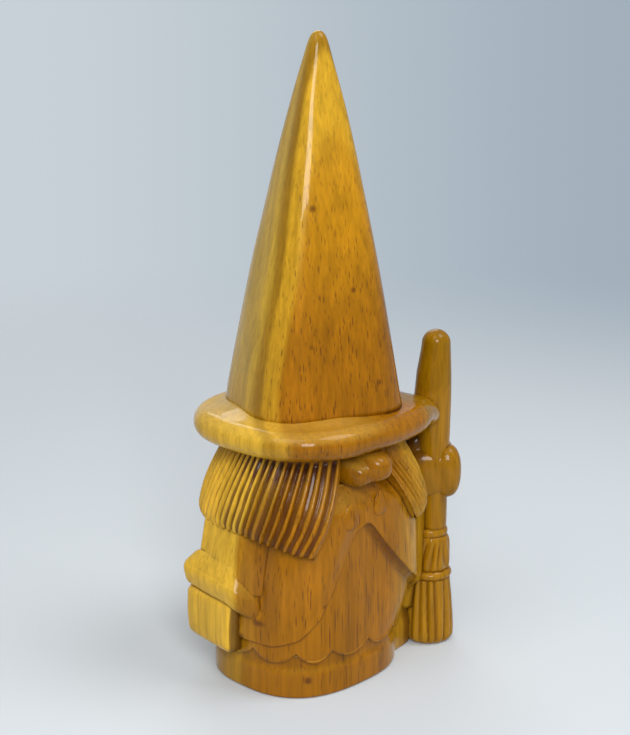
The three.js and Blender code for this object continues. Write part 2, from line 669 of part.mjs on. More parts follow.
// The hair divides in three along upright grooves, in line with the sides of the head.
function upright(from, to) {
  const foot = -FIGURE_REACH;
  const top = FIGURE_REACH;
  return prism([[from, foot], [to, foot], [to, top], [from, top]], 'front');
}

function backRegion(grow) {
  const half = HEAD_WIDTH / 2 + grow;
  return upright(-half, half).translate([0, FIGURE_REACH, 0]);
}
const rightRegion = upright(-FIGURE_REACH, 0).translate([0, FIGURE_REACH / 2, 0]);
const locks = cutAway(hair, backRegion(SEAT_GAP));

const PIECES = [
  ['base_block', baseSolid(0), AMBER_WOOD],
  ['tunic', cutAway(tunicSolid(0), baseSolid(SEAT_GAP)), AMBER_WOOD],
  ['cloak', cutAway(cloakSolid(0), tunicSolid(SEAT_GAP), headSolid(SEAT_GAP), cloakOpening()), AMBER_WOOD],
  ['cloak_tie_right', tieSolid(-1), AMBER_WOOD],
  ['cloak_tie_left', tieSolid(1), AMBER_WOOD],
  ['head', headSolid(0), AMBER_WOOD],
  ['nose', noseSolid(), AMBER_WOOD],
  ['hair_right_lock', locks.intersect(rightRegion), STAINED_WOOD],
  ['hair_left_lock', locks.subtract(rightRegion), STAINED_WOOD],
  ['hair_back', hair.intersect(backRegion(0)), STAINED_WOOD],
  ['hat_brim', brim, AMBER_WOOD],
  ['hat_crown', crownSolid(), AMBER_WOOD],
  ['right_sleeve', rightSleeve(), PALE_WOOD],
  ['right_cuff', cutAway(cuffSolid(0), bodyGrown), PALE_WOOD],
  ['right_hand', rightHand(), PALE_WOOD],
  ['left_sleeve', sleeve, PALE_WOOD],
  ['left_cuff', leftCuff, PALE_WOOD],
  ['left_hand', fist, PALE_WOOD],
  ['broom_stick', stick, PALE_WOOD],
  ['broom_collar', broomCollar(), PALE_WOOD],
  ['broom_head', broomHead(), PALE_WOOD],
  ['broom_band', broomBand(), PALE_WOOD],
  ['broom_bristles', bristles(), PALE_WOOD],
];

const gnome = new THREE.Group();
gnome.name = 'gnome_figurine';
for (const [name, solid, color] of PIECES) {
  const varnished = new THREE.MeshStandardMaterial({ color, roughness: VARNISH_ROUGHNESS, metalness: 0 });
  const mesh = new THREE.Mesh(geometryOf(solid), varnished);
  mesh.name = name;
  gnome.add(mesh);
}

export default gnome;
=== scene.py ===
# A carved gnome in varnished wood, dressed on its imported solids.
# Metres, +Z up. The figure faces -Y, its right arm is on -X and its broom on +X.

import json
import math

import bmesh
import bpy
from mathutils import Matrix, Vector, noise
from mathutils.bvhtree import BVHTree

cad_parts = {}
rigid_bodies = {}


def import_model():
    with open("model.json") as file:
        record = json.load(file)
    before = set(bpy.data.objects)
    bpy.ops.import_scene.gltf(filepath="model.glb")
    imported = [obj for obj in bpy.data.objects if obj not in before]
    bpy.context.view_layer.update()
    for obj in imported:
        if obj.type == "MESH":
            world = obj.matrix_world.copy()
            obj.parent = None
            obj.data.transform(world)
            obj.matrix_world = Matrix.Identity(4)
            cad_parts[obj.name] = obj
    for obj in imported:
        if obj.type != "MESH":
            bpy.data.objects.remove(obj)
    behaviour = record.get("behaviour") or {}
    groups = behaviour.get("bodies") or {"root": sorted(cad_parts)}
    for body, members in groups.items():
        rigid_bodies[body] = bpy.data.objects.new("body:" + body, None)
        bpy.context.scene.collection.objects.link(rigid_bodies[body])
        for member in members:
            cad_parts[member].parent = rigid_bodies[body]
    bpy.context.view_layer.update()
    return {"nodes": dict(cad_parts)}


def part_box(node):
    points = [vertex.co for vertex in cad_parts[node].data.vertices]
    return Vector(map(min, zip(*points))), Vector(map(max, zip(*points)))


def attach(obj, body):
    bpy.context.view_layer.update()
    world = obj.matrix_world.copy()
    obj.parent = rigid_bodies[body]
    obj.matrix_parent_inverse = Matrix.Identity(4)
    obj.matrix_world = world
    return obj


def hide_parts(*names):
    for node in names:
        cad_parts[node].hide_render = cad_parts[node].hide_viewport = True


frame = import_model()
SPAN = {node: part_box(node) for node in frame["nodes"]}

bl_info = {
    "name": "Carved Gnome",
    "version": (1, 0, 0),
    "blender": (4, 5, 0),
    "location": "View3D > Sidebar > Gnome",
    "description": "A varnished wooden gnome with a broom, carved piece by piece",
    "category": "Add Mesh",
}

AMBER = "amber_wood"
STAINED = "stained_wood"
PALE = "pale_wood"
CREVICE = "crevice"

# Plans of the block are rounded squares, from 2 for an ellipse up to 5 for a box.
BODY_SQUARENESS = 2.6
ARM_CORNER_SQUARENESS = 4.5
ARM_CORNER_RISE = 0.019
HAIR_CORNER_SQUARENESS = 3.5
HAT_SQUARENESS = 3.3
TIP_SQUARENESS = 2.3
STICK_SQUARENESS = 2.3

# Body: half width and half depth at the shoulders, and how the cloak and the hem stand out from the tunic.
SHOULDER_HALF = (0.022, 0.024)
CLOAK_STAND = 0.0023
CLOAK_THIN = 0.0009
CLOAK_BEVEL = 0.0030
COLLAR_TAPER = 0.0034
HEM_LOW = 0.0120
HEM_DEPTH = 0.0034
HEM_NOTCHES = (-168, -140, -117.5, -86.2, -59.3, -33, -5, 24, 53, 82, 111, 140, 166)

# Web of wood between the block and the broom: reach, half angle, top and the height over which it fades.
BROOM_WEB = 0.0085
BROOM_WEB_WIDTH = math.radians(9)
BROOM_WEB_TOP = 0.066
BROOM_WEB_FADE = 0.008

# Lower edge of the cloak: height against the turn round the figure, in degrees from +X.
CLOAK_EDGE = (
    (-180, 0.0185), (-154, 0.0174), (-138, 0.0200), (-126, 0.0258), (-109, 0.0427), (-98, 0.0512),
    (-90, 0.0533), (-83, 0.0507), (-52, 0.0308), (-30, 0.0215), (60, 0.0165), (180, 0.0185),
)

# Painted shadows in the corners under the right arm: turn in degrees and height, then their half sizes.
PAINTED_SHADOWS = ((-162, 0.0246), (-176, 0.0190), (-163, 0.0372))
PAINTED_SHADOW_HALF = (6, 0.0013)

# How much lower the right cuff is in front than behind.
CUFF_TILT = 0.0030

# Hair: half sizes under the brim, tips, and the parting in front of the face.
HAIR_TOP_HALF = (0.0245, 0.023)
HAIR_ROUND = 0.0036
LOCK_THICK = 0.0030
HAIR_RIGHT_TIP = 0.0084
HAIR_LEFT_TIP = 0.0030
PARTING_MIDDLE = 0.0012
PARTING_HALF = 0.0081
PARTING_KNEE = 0.0705
PARTING_RIGHT_FLARE = 0.5
PARTING_LEFT_FLARE = 0.60
SEAM_X = 0.020

# Hat: the middle of its plan, the turn of its corners, its lean and taper, and the web to the broom stick.
HAT_X = 0.0015
HAT_Y = -0.002
HAT_TURN = math.radians(-21)
CROWN_SHARE = 0.98
CROWN_FULLNESS = 0.737
CROWN_BLUNT = 0.22
BLUNT_SHARE = 0.055
CROWN_LEAN = 0.0011
BRIM_DROOP = 0.0025
BRIM_DROOP_MOST = 0.0030
WEB_TURN = math.radians(-25)
WEB_WIDTH = math.radians(13)
WEB_REACH = 0.0052

# View to the right and towards the camera, as flat directions, for the broom hand.
ASIDE = Vector((math.sqrt(0.5), -math.sqrt(0.5), 0))
TOWARD = Vector((-math.sqrt(0.5), -math.sqrt(0.5), 0))

# Darkness in the lines between two pieces, stain deepened as painted shade, from none to black.
FIRM_LINE = 0.66
SOFT_LINE = 0.42

# The block was cut just behind the pith, so its front is heartwood and its sides and back are sapwood.
PITH_X = -0.0056
PITH_Y = -0.034
RING_PITCH = 0.0034
RING_DRIFT = 0.005
STRIPE_START = 0.0248
STRIPE_FADE = 0.003
BAND_START = 0.0297
SAP_START = 0.0328
HAT_STRIPE = 0.0026
HAT_SLANT = (0.001, -0.004)
FOOT_HEART = 0.008

# Tints of the lower heartwood, the painted shade at the foot, the hat and the painted deep shadow in the
# deepest marks, and the colour of the painted sheen on upward faces.
DEEP_TINT = (0.71, 0.60, 0.45)
FOOT_SHADE_TINT = (0.60, 0.52, 0.3)
HAT_TINT = (0.80, 0.82, 0.6)
DEEP_SHADOW_TINT = (0.16, 0.16, 0.2)
PAINTED_SHEEN_COLOUR = (0.78, 0.50, 0.08, 1)

# Pin knots on the front of the block: place and size.
KNOTS = (
    ((-0.0091, -0.0127, 0.1495), 0.0010), ((0.0, -0.0203, 0.1252), 0.0008),
    ((-0.0148, -0.0180, 0.1097), 0.0008), ((0.0052, -0.0260, 0.0971), 0.0009),
    ((-0.0196, -0.0210, 0.0060), 0.0010), ((-0.0160, -0.0251, 0.0302), 0.0008),
    ((-0.0047, -0.0263, 0.0490), 0.0008), ((0.0037, -0.0276, 0.0239), 0.0009),
)

WELD = 1e-6


def mix(start, end, share):
    return start + (end - start) * share


def clamp(value, low=0.0, high=1.0):
    return min(max(value, low), high)


def ease(share):
    share = clamp(share)
    return share * share * (3 - 2 * share)


def bell(value, width):
    return math.exp(-(value / width) ** 2)


def half_of(node):
    low, high = SPAN[node]
    return (high - low) / 2


def middle_of(node):
    low, high = SPAN[node]
    return (high + low) / 2


def along_table(value, table):
    """Reads a table of pairs that rises in its first column, straight between its rows."""
    for (x0, y0), (x1, y1) in zip(table, table[1:]):
        if value <= x1:
            return mix(y0, y1, clamp((value - x0) / (x1 - x0)))
    return table[-1][1]


# Plans.
def outward(turn):
    return Vector((math.cos(turn), math.sin(turn), 0))


def turned_from(turn, other):
    """Signed angle from another turn."""
    return (turn - other + math.pi) % math.tau - math.pi


def plan_reach(turn, a, b, squareness):
    """Distance from the middle to the edge of a rounded rectangle with half sizes a and b."""
    across = abs(math.cos(turn) / a) ** squareness
    along = abs(math.sin(turn) / b) ** squareness
    return (across + along) ** (-1 / squareness)


def plan_point(turn, a, b, squareness, z, centre=(0.0, 0.0), twist=0.0):
    reach = plan_reach(turn - twist, a, b, squareness)
    return Vector((centre[0] + reach * math.cos(turn), centre[1] + reach * math.sin(turn), z))


def shrunk(spot, share):
    """A point moved level towards the Z axis."""
    return Vector((spot.x * share, spot.y * share, spot.z))


def body_half(turn, z, out=0.0):
    """Half sizes and squareness of the tunic at a height: on the left it stays wide, with a square corner."""
    low, high = SPAN["tunic"]
    wide = half_of("tunic")
    share = clamp((z - low.z) / (high.z - low.z)) ** 2
    a = wide.x
    square = BODY_SQUARENESS
    if math.cos(turn) <= 0:
        a = mix(wide.x, SHOULDER_HALF[0], share)
    elif math.sin(turn) < 0:
        square = mix(BODY_SQUARENESS, ARM_CORNER_SQUARENESS, ease((z - low.z) / ARM_CORNER_RISE))
    return a + out, mix(wide.y, SHOULDER_HALF[1], share) + out, square


def body_point(turn, z, out=0.0):
    return plan_point(turn, *body_half(turn, z, out), z) + outward(turn) * broom_web(turn, z)


def front_of(x, z, out):
    """How far forward the front of the body is at a place across it."""
    corner = -math.pi / 4 if x > 0 else -3 * math.pi / 4
    a, b, square = body_half(corner, z, out)
    return -b * (1 - abs(x / a) ** square) ** (1 / square)


def right_width(z):
    """Half width of the tunic on the right side."""
    return body_half(math.pi, z)[0]


def broom_web(turn, z):
    """Extra reach of the block where it joins the broom beside it."""
    axis = middle_of("broom_stick")
    beside = turned_from(turn, math.atan2(axis.y, axis.x))
    return BROOM_WEB * bell(beside, BROOM_WEB_WIDTH) * ease((BROOM_WEB_TOP - z) / BROOM_WEB_FADE)


def web_shade(turn, z):
    """Painted shade in the gap between the block and the bristles."""
    return 0.8 * broom_web(turn, z) / BROOM_WEB * ease((0.036 - z) / BROOM_WEB_FADE)


def hem_height(turn):
    """Lower edge of the tunic: round lobes between pointed notches."""
    angle = math.degrees(turn)
    notches = HEM_NOTCHES + (HEM_NOTCHES[0] + 360,)
    if angle < notches[0]:
        angle += 360
    for start, end in zip(notches, notches[1:]):
        if start <= angle <= end:
            lobe = math.sin(math.pi * (angle - start) / (end - start))
            return HEM_LOW + HEM_DEPTH * (1 - lobe ** 0.75)
    return HEM_LOW


def cloak_edge(turn):
    """Lower edge of the cloak, smoothed."""
    angle = math.degrees(turn)
    near = [along_table(angle + shift, CLOAK_EDGE) for shift in (-1.6, -0.8, 0, 0.8, 1.6)]
    return sum(near) / len(near)


def left_edge(turn):
    """One along the left edge of the opening of the cloak, and zero elsewhere."""
    angle = math.degrees(turn)
    return ease((angle + 93) / 8) * ease((-14 - angle) / 14)


def hair_frame():
    """Middle, half width, half depth, top and hem of the whole head of hair."""
    corners = [corner for node in ("hair_right_lock", "hair_left_lock", "hair_back") for corner in SPAN[node]]
    left, right = min(c.x for c in corners), max(c.x for c in corners)
    front, back = min(c.y for c in corners), max(c.y for c in corners)
    top = max(c.z for c in corners)
    hem = SPAN["hair_back"][0].z
    return ((left + right) / 2, (front + back) / 2), (right - left) / 2, (back - front) / 2, top, hem


HAIR_MIDDLE, HAIR_WIDE, HAIR_DEEP, HAIR_TOP, HAIR_HEM = hair_frame()


# Starting shapes.
def spin(bm, angle, steps, merge):
    bmesh.ops.spin(
        bm, geom=bm.verts[:] + bm.edges[:], cent=(0, 0, 0), axis=(0, 0, 1), dvec=(0, 0, 0), angle=angle,
        steps=steps, use_merge=merge, use_normal_flip=False, use_duplicate=False)


def turned_tube(rows, sides):
    """An open tube of radius one and height one, with level rows of points and sides round it."""
    bm = bmesh.new()
    foot = bm.verts.new((1, 0, 0))
    top = bm.verts.new((1, 0, 1))
    rod = bm.edges.new((foot, top))
    bmesh.ops.subdivide_edges(bm, edges=[rod], cuts=rows - 2)
    spin(bm, math.tau, sides, True)
    return bm


def place_tube(bm, place, groove=None):
    """Puts each point of a tube where place(turn, rise) says, with the depth of its groove."""
    layer = bm.verts.layers.float.new(CREVICE)
    for vert in bm.verts:
        turn, rise = math.atan2(vert.co.y, vert.co.x), vert.co.z
        vert.co = place(turn, rise)
        vert[layer] = groove(turn, rise) if groove else 0.0
    bmesh.ops.remove_doubles(bm, verts=bm.verts, dist=WELD)


def capped(rise, foot, top):
    """Share of the full reach at a rise on a closed tube, and the climb between its two end caps."""
    return min(rise / foot, (1 - rise) / top, 1.0), clamp((rise - foot) / (1 - foot - top))


def hoop(loops, steps, whole):
    """A round section swept about Z: a full hoop, or one radian of it with closed ends."""
    bm = bmesh.new()
    section = bmesh.ops.create_circle(bm, segments=loops, radius=0.5)["verts"]
    bmesh.ops.rotate(bm, verts=section, cent=(0, 0, 0), matrix=Matrix.Rotation(math.pi / 2, 3, "X"))
    bmesh.ops.translate(bm, verts=section, vec=(1, 0, 0))
    spin(bm, math.tau if whole else 1.0, steps, whole)
    if not whole:
        bmesh.ops.holes_fill(bm, edges=[edge for edge in bm.edges if edge.is_boundary])
    return bm


def place_hoop(bm, loops, place, groove):
    """Puts each point of a hoop where place(turn, share round the section) says."""
    layer = bm.verts.layers.float.new(CREVICE)
    for vert in bm.verts:
        turn = math.atan2(vert.co.y, vert.co.x)
        around = math.atan2(vert.co.z, math.hypot(vert.co.x, vert.co.y) - 1)
        share = round(around / math.tau * loops) % loops / loops
        vert.co = place(turn, share)
        vert[layer] = groove(turn, share)


def block(cuts):
    """A cube from -1 to 1 whose faces are cut into a grid, closest together at the edges."""
    bm = bmesh.new()
    bmesh.ops.create_cube(bm, size=2)
    bmesh.ops.subdivide_edges(bm, edges=bm.edges[:], cuts=cuts, use_grid_fill=True)
    for vert in bm.verts:
        vert.co = Vector([math.sin(value * math.pi / 2) for value in vert.co])
    return bm


def eased_block(point, half, radius):
    """Moves a point of a unit block onto a block with half sizes and rounded edges."""
    full = Vector([value * size for value, size in zip(point, half)])
    inner = Vector([clamp(value, radius - size, size - radius) for value, size in zip(full, half)])
    away = full - inner
    return inner + away.normalized() * radius if away.length > WELD else full


def swollen(point, squareness):
    """Moves a point of a unit block onto a ball, or a squarer pebble."""
    swell = sum(abs(value) ** squareness for value in point) ** (-1 / squareness)
    return Vector(point) * swell


def pebbles(lumps, cuts=14):
    """Rounded lumps in one bmesh: each has a centre, a frame of three half axes and a squareness."""
    bm = bmesh.new()
    for centre, axes, squareness in lumps:
        lump = block(cuts)
        for vert in lump.verts:
            ball = swollen(vert.co, squareness)
            vert.co = centre + axes[0] * ball.x + axes[1] * ball.y + axes[2] * ball.z
        scratch = bpy.data.meshes.new("lump")
        lump.to_mesh(scratch)
        lump.free()
        bm.from_mesh(scratch)
        bpy.data.meshes.remove(scratch)
    return bm


def knife_marks(bm, depth, pitch, stretch=0.35):
    """Shallow waves that a knife leaves, longer along the grain than across it."""
    bm.normal_update()
    for vert in bm.verts:
        spot = vert.co / pitch
        vert.co += vert.normal * depth * noise.noise(Vector((spot.x, spot.y, spot.z * stretch)))


def make_piece(bm, name, node, slot):
    """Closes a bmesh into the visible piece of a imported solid, on the root body."""
    bmesh.ops.remove_doubles(bm, verts=bm.verts, dist=WELD)
    bmesh.ops.recalc_face_normals(bm, faces=bm.faces)
    for face in bm.faces:
        face.smooth = True
    mesh = bpy.data.meshes.new(name)
    bm.to_mesh(mesh)
    bm.free()
    piece = bpy.data.objects.new(name, mesh)
    bpy.context.scene.collection.objects.link(piece)
    mesh.materials.append(wood_material(slot))
    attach(piece, "root")
    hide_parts(node)
    return piece


def fuse(piece, voxel, rounds):
    """Melts the overlapping lumps of a piece into one skin."""
    melt = piece.modifiers.new("Melt", "REMESH")
    melt.mode = "VOXEL"
    melt.voxel_size = voxel
    melt.use_smooth_shade = True
    soften = piece.modifiers.new("Soften", "SMOOTH")
    soften.factor = 0.5
    soften.iterations = rounds
    graph = bpy.context.evaluated_depsgraph_get()
    mesh = bpy.data.meshes.new_from_object(piece.evaluated_get(graph))
    piece.modifiers.clear()
    mesh.name = piece.name
    piece.data = mesh


# Finishes.
def add_node(tree, kind, **settings):
    node = tree.nodes.new(kind)
    for key, value in settings.items():
        setattr(node, key, value)
    return node


def feed(tree, socket, source):
    """Links a source socket, or sets a plain value."""
    if isinstance(source, bpy.types.NodeSocket):
        tree.links.new(source, socket)
    else:
        socket.default_value = source


def math_node(tree, operation, *sources):
    node = add_node(tree, "ShaderNodeMath", operation=operation)
    for socket, source in zip(node.inputs, sources):
        feed(tree, socket, source)
    return node.outputs[0]


def times(tree, first, second):
    return math_node(tree, "MULTIPLY", first, second)


def scaled(tree, value, factor, plus):
    return math_node(tree, "MULTIPLY_ADD", value, factor, plus)


def vector_node(tree, operation, vector, other=None):
    """A vector operation between a socket and a plain vector."""
    node = add_node(tree, "ShaderNodeVectorMath", operation=operation)
    tree.links.new(vector, node.inputs[0])
    if other is not None:
        node.inputs[1].default_value = other
    return node.outputs["Value"]


def ramp(tree, value, start, end, low=0.0, high=1.0):
    """A smooth step of a value from start to end."""
    node = add_node(tree, "ShaderNodeMapRange", interpolation_type="SMOOTHSTEP")
    for name, source in (
        ("Value", value), ("From Min", start), ("From Max", end), ("To Min", low), ("To Max", high),
    ):
        feed(tree, node.inputs[name], source)
    return node.outputs["Result"]


def blend_colour(tree, factor, first, second, mode="MIX"):
    node = add_node(tree, "ShaderNodeMix", data_type="RGBA", blend_type=mode)
    feed(tree, node.inputs["Factor"], factor)
    feed(tree, node.inputs[6], first)
    feed(tree, node.inputs[7], second)
    return node.outputs[2]


def tinted(tree, factor, colour, tint):
    """A colour that is multiplied by a tint where the factor is one."""
    return blend_colour(tree, factor, colour, blend_colour(tree, 1.0, colour, (*tint, 1), "MULTIPLY"))


def split_vector(tree, vector):
    split = add_node(tree, "ShaderNodeSeparateXYZ")
    tree.links.new(vector, split.inputs["Vector"])
    return split.outputs


def stretched(tree, coords, scale):
    mapping = add_node(tree, "ShaderNodeMapping")
    mapping.inputs["Scale"].default_value = scale
    tree.links.new(coords, mapping.inputs["Vector"])
    return mapping.outputs["Vector"]


def grain_noise(tree, coords, scale, detail, roughness=0.5):
    """Noise stretched by a scale along each axis."""
    texture = add_node(tree, "ShaderNodeTexNoise")
    texture.inputs["Scale"].default_value = 1.0
    texture.inputs["Detail"].default_value = detail
    texture.inputs["Roughness"].default_value = roughness
    tree.links.new(stretched(tree, coords, scale), texture.inputs["Vector"])
    return texture.outputs["Fac"]


def pore_mask(tree, coords, scale, size, share):
    """Short dark vessels along the grain, in some of the cells of a stretched pattern."""
    cells = add_node(tree, "ShaderNodeTexVoronoi", feature="F1")
    cells.inputs["Scale"].default_value = 1.0
    tree.links.new(stretched(tree, coords, scale), cells.inputs["Vector"])
    split = add_node(tree, "ShaderNodeSeparateColor")
    tree.links.new(cells.outputs["Color"], split.inputs["Color"])
    near = ramp(tree, cells.outputs["Distance"], size, size * 0.45)
    return times(tree, near, math_node(tree, "LESS_THAN", split.outputs["Red"], share))


def ring_distance(tree, coords, place, hat):
    """Distance from the pith, wavering along the trunk, less at the foot and slanted up the hat."""
    off_x = math_node(tree, "SUBTRACT", place["X"], PITH_X)
    off_y = math_node(tree, "SUBTRACT", place["Y"], PITH_Y)
    square = scaled(tree, off_x, off_x, times(tree, off_y, off_y))
    drift = scaled(tree, grain_noise(tree, coords, (45, 45, 9), 2), RING_DRIFT, -RING_DRIFT / 2)
    ring = math_node(tree, "ADD", math_node(tree, "SQRT", square), drift)
    ring = math_node(tree, "SUBTRACT", ring, ramp(tree, place["Z"], 0.075, 0.045, 0.0, FOOT_HEART))
    return scaled(tree, hat, ramp(tree, place["Z"], 0.138, 0.092, *HAT_SLANT), ring)


def zone_colour(tree, given, ring, place, hat):
    """Heartwood, deepest in the body, then a pale stripe, a dark band and the sapwood."""
    x, z = place["X"], place["Z"]
    flank = times(tree, ramp(tree, x, 0.036, 0.030), ramp(tree, z, 0.079, 0.075))
    heart = tinted(tree, ramp(tree, z, 0.105, 0.150, 1.0, 0.0), given["Heart"], DEEP_TINT)
    corner = times(tree, flank, ramp(tree, x, 0.010, 0.024, 0.0, 0.42))
    heart = blend_colour(tree, corner, heart, given["Sap"])
    heart = blend_colour(tree, ramp(tree, z, 0.14, 0.20, 0.0, 0.5), heart, given["Sap"])
    olive = times(tree, ramp(tree, x, 0.006, 0.024), scaled(tree, flank, -0.55, 1.0))
    outer = blend_colour(tree, olive, given["Sap"], given["Olive"])
    # Painted shade: the sapwood is darker at the foot.
    outer = tinted(tree, times(tree, flank, ramp(tree, z, 0.016, 0.010)), outer, FOOT_SHADE_TINT)
    outer = tinted(tree, hat, outer, HAT_TINT)
    start = scaled(tree, hat, -HAT_STRIPE, STRIPE_START)
    stripe = ramp(tree, ring, start, math_node(tree, "ADD", start, STRIPE_FADE))
    stripe = times(tree, stripe, ramp(tree, z, 0.055, 0.08, 0.12, 0.55))
    colour = blend_colour(tree, stripe, heart, outer)
    band = ramp(tree, ring, BAND_START - 0.0009, BAND_START + 0.0007)
    band = times(tree, band, ramp(tree, z, 0.078, 0.088, 0.25, 1.0))
    colour = blend_colour(tree, band, colour, given["Band"])
    return blend_colour(tree, ramp(tree, ring, SAP_START - 0.0012, SAP_START + 0.0012), colour, outer)


def vessels(tree, coords, ring, place):
    """Pores of two lengths, fewer in the sap and up the hat."""
    heart = ramp(tree, ring, 0.033, 0.024, 0.3, 1.0)
    heart = times(tree, heart, ramp(tree, place["Z"], 0.11, 0.18, 1.0, 0.45))
    long_pores = pore_mask(tree, coords, (1150, 1150, 55), 0.34, 0.4)
    short_pores = pore_mask(tree, coords, (1500, 1500, 110), 0.3, 0.5)
    return times(tree, math_node(tree, "MAXIMUM", long_pores, short_pores), heart)


def wood_group():
    """Solid wood: rings about a pith in front of the figure, amber inside and pale outside."""
    name = "Solid Wood"
    if name in bpy.data.node_groups:
        return bpy.data.node_groups[name]
    tree = bpy.data.node_groups.new(name, "ShaderNodeTree")
    for label in ("Heart", "Sap", "Band", "Olive", "Stain"):
        tree.interface.new_socket(label, in_out="INPUT", socket_type="NodeSocketColor")
    tree.interface.new_socket("Stain Strength", in_out="INPUT", socket_type="NodeSocketFloat")
    tree.interface.new_socket("Color", in_out="OUTPUT", socket_type="NodeSocketColor")
    for label in ("Roughness", "Height"):
        tree.interface.new_socket(label, in_out="OUTPUT", socket_type="NodeSocketFloat")
    given = add_node(tree, "NodeGroupInput").outputs
    result = add_node(tree, "NodeGroupOutput").inputs
    coords = add_node(tree, "ShaderNodeTexCoord").outputs["Object"]
    place = split_vector(tree, coords)
    hat = ramp(tree, place["Z"], 0.084, 0.090)
    ring = ring_distance(tree, coords, place, hat)
    colour = zone_colour(tree, given, ring, place, hat)

    # Fibres, mottle and rings as light and shade.
    fibre = grain_noise(tree, coords, (1100, 1100, 45), 3, 0.6)
    streak = grain_noise(tree, coords, (330, 330, 14), 3, 0.55)
    mottle = grain_noise(tree, coords, (75, 75, 30), 3)
    rings = math_node(tree, "SINE", times(tree, ring, math.tau / RING_PITCH))
    shade = scaled(tree, fibre, 0.8, 0.60)
    for pattern, strength, plain in ((streak, 0.44, 0.78), (mottle, 0.8, 0.60), (rings, 0.05, 1.0)):
        shade = times(tree, shade, scaled(tree, pattern, strength, plain))
    grey = add_node(tree, "ShaderNodeCombineColor")
    for channel in ("Red", "Green", "Blue"):
        tree.links.new(shade, grey.inputs[channel])
    colour = blend_colour(tree, 1.0, colour, grey.outputs["Color"], "MULTIPLY")

    # Vessels and pin knots.
    pores = vessels(tree, coords, ring, place)
    colour = blend_colour(tree, times(tree, pores, 0.64), colour, given["Stain"])
    spots = 0.0
    for centre, size in KNOTS:
        gap = vector_node(tree, "DISTANCE", coords, centre)
        spots = math_node(tree, "ADD", ramp(tree, gap, size * 1.7, size * 0.4), spots)
    colour = blend_colour(tree, times(tree, spots, 0.75), colour, given["Stain"])

    # Upward faces on the right side are painted paler as a painted sheen, and the crevice mark paints stain
    # and shade in the carved lines.
    facing = split_vector(tree, add_node(tree, "ShaderNodeNewGeometry").outputs["Normal"])
    right_side = ramp(tree, place["X"], 0.008, -0.010, 0.0, 0.24)
    painted_sheen = times(tree, ramp(tree, facing["Z"], 0.15, 0.75), right_side)
    colour = blend_colour(tree, painted_sheen, colour, PAINTED_SHEEN_COLOUR)
    crevice = add_node(tree, "ShaderNodeAttribute", attribute_name=CREVICE).outputs["Fac"]
    stain_and_shade = times(tree, ramp(tree, crevice, 0.22, 0.72), given["Stain Strength"])
    stain_and_shade = times(tree, stain_and_shade, scaled(tree, streak, 0.7, 0.65))
    stain_and_shade = math_node(tree, "MINIMUM", stain_and_shade, 1.0)
    colour = blend_colour(tree, stain_and_shade, colour, given["Stain"])
    # The deepest marks are painted as near-black shadow.
    painted_deep_shadow = tinted(tree, 1.0, given["Stain"], DEEP_SHADOW_TINT)
    colour = blend_colour(tree, ramp(tree, crevice, 0.8, 1.0), colour, painted_deep_shadow)

    tree.links.new(colour, result["Color"])
    gloss = scaled(tree, stain_and_shade, 0.15, scaled(tree, mottle, 0.12, 0.13))
    tree.links.new(scaled(tree, pores, 0.12, gloss), result["Roughness"])
    height = scaled(tree, fibre, 0.35, times(tree, streak, 0.6))
    tree.links.new(scaled(tree, pores, -0.7, height), result["Height"])
    return tree


def wood_material(slot):
    """Varnished wood of one material slot."""
    name = "varnished_" + slot
    if name in bpy.data.materials:
        return bpy.data.materials[name]
    tones = bpy.context.scene.gnome_wood
    material = bpy.data.materials.new(name)
    material.use_nodes = True
    tree = material.node_tree
    shader = tree.nodes["Principled BSDF"]
    wood = add_node(tree, "ShaderNodeGroup", node_tree=wood_group())
    for label in ("Heart", "Sap", "Band", "Olive", "Stain"):
        wood.inputs[label].default_value = (*getattr(tones, label.lower()), 1)
    wood.inputs["Stain Strength"].default_value = {AMBER: 0.75, STAINED: 0.95, PALE: 0.7}[slot]
    bump = add_node(tree, "ShaderNodeBump")
    bump.inputs["Strength"].default_value = 0.22
    bump.inputs["Distance"].default_value = 0.0004
    tree.links.new(wood.outputs["Height"], bump.inputs["Height"])
    tree.links.new(wood.outputs["Color"], shader.inputs["Base Color"])
    tree.links.new(wood.outputs["Roughness"], shader.inputs["Roughness"])
    tree.links.new(bump.outputs["Normal"], shader.inputs["Normal"])
    for label, value in (
        ("IOR", 1.5), ("Specular IOR Level", 0.06), ("Coat Weight", tones.varnish), ("Coat Roughness", 0.04),
        ("Coat IOR", 1.35),
    ):
        shader.inputs[label].default_value = value
    return material


# Settings.
LENGTH = {"min": 0.0, "unit": "LENGTH"}
COLOUR = {"min": 0, "max": 1, "subtype": "COLOR"}
POWER = {"min": 0, "unit": "POWER"}


class CarvingSizes(bpy.types.PropertyGroup):
    strand_depth: bpy.props.FloatProperty(
        name="Strand depth", description="Depth of the grooves of the hair", default=0.0014, **LENGTH)
    bristle_depth: bpy.props.FloatProperty(
        name="Bristle depth", description="Depth of the grooves of the broom", default=0.0011, **LENGTH)
    knife_depth: bpy.props.FloatProperty(
        name="Knife marks", description="Height of the waves that the knife left", default=0.00025, **LENGTH)
    # The stain in the lines where pieces meet is partly painted shade.
    stain_and_shade_reach: bpy.props.FloatProperty(
        name="Stain reach", description="How far the stain spreads from a line where two pieces meet",
        default=0.0013, min=0.0001, unit="LENGTH")


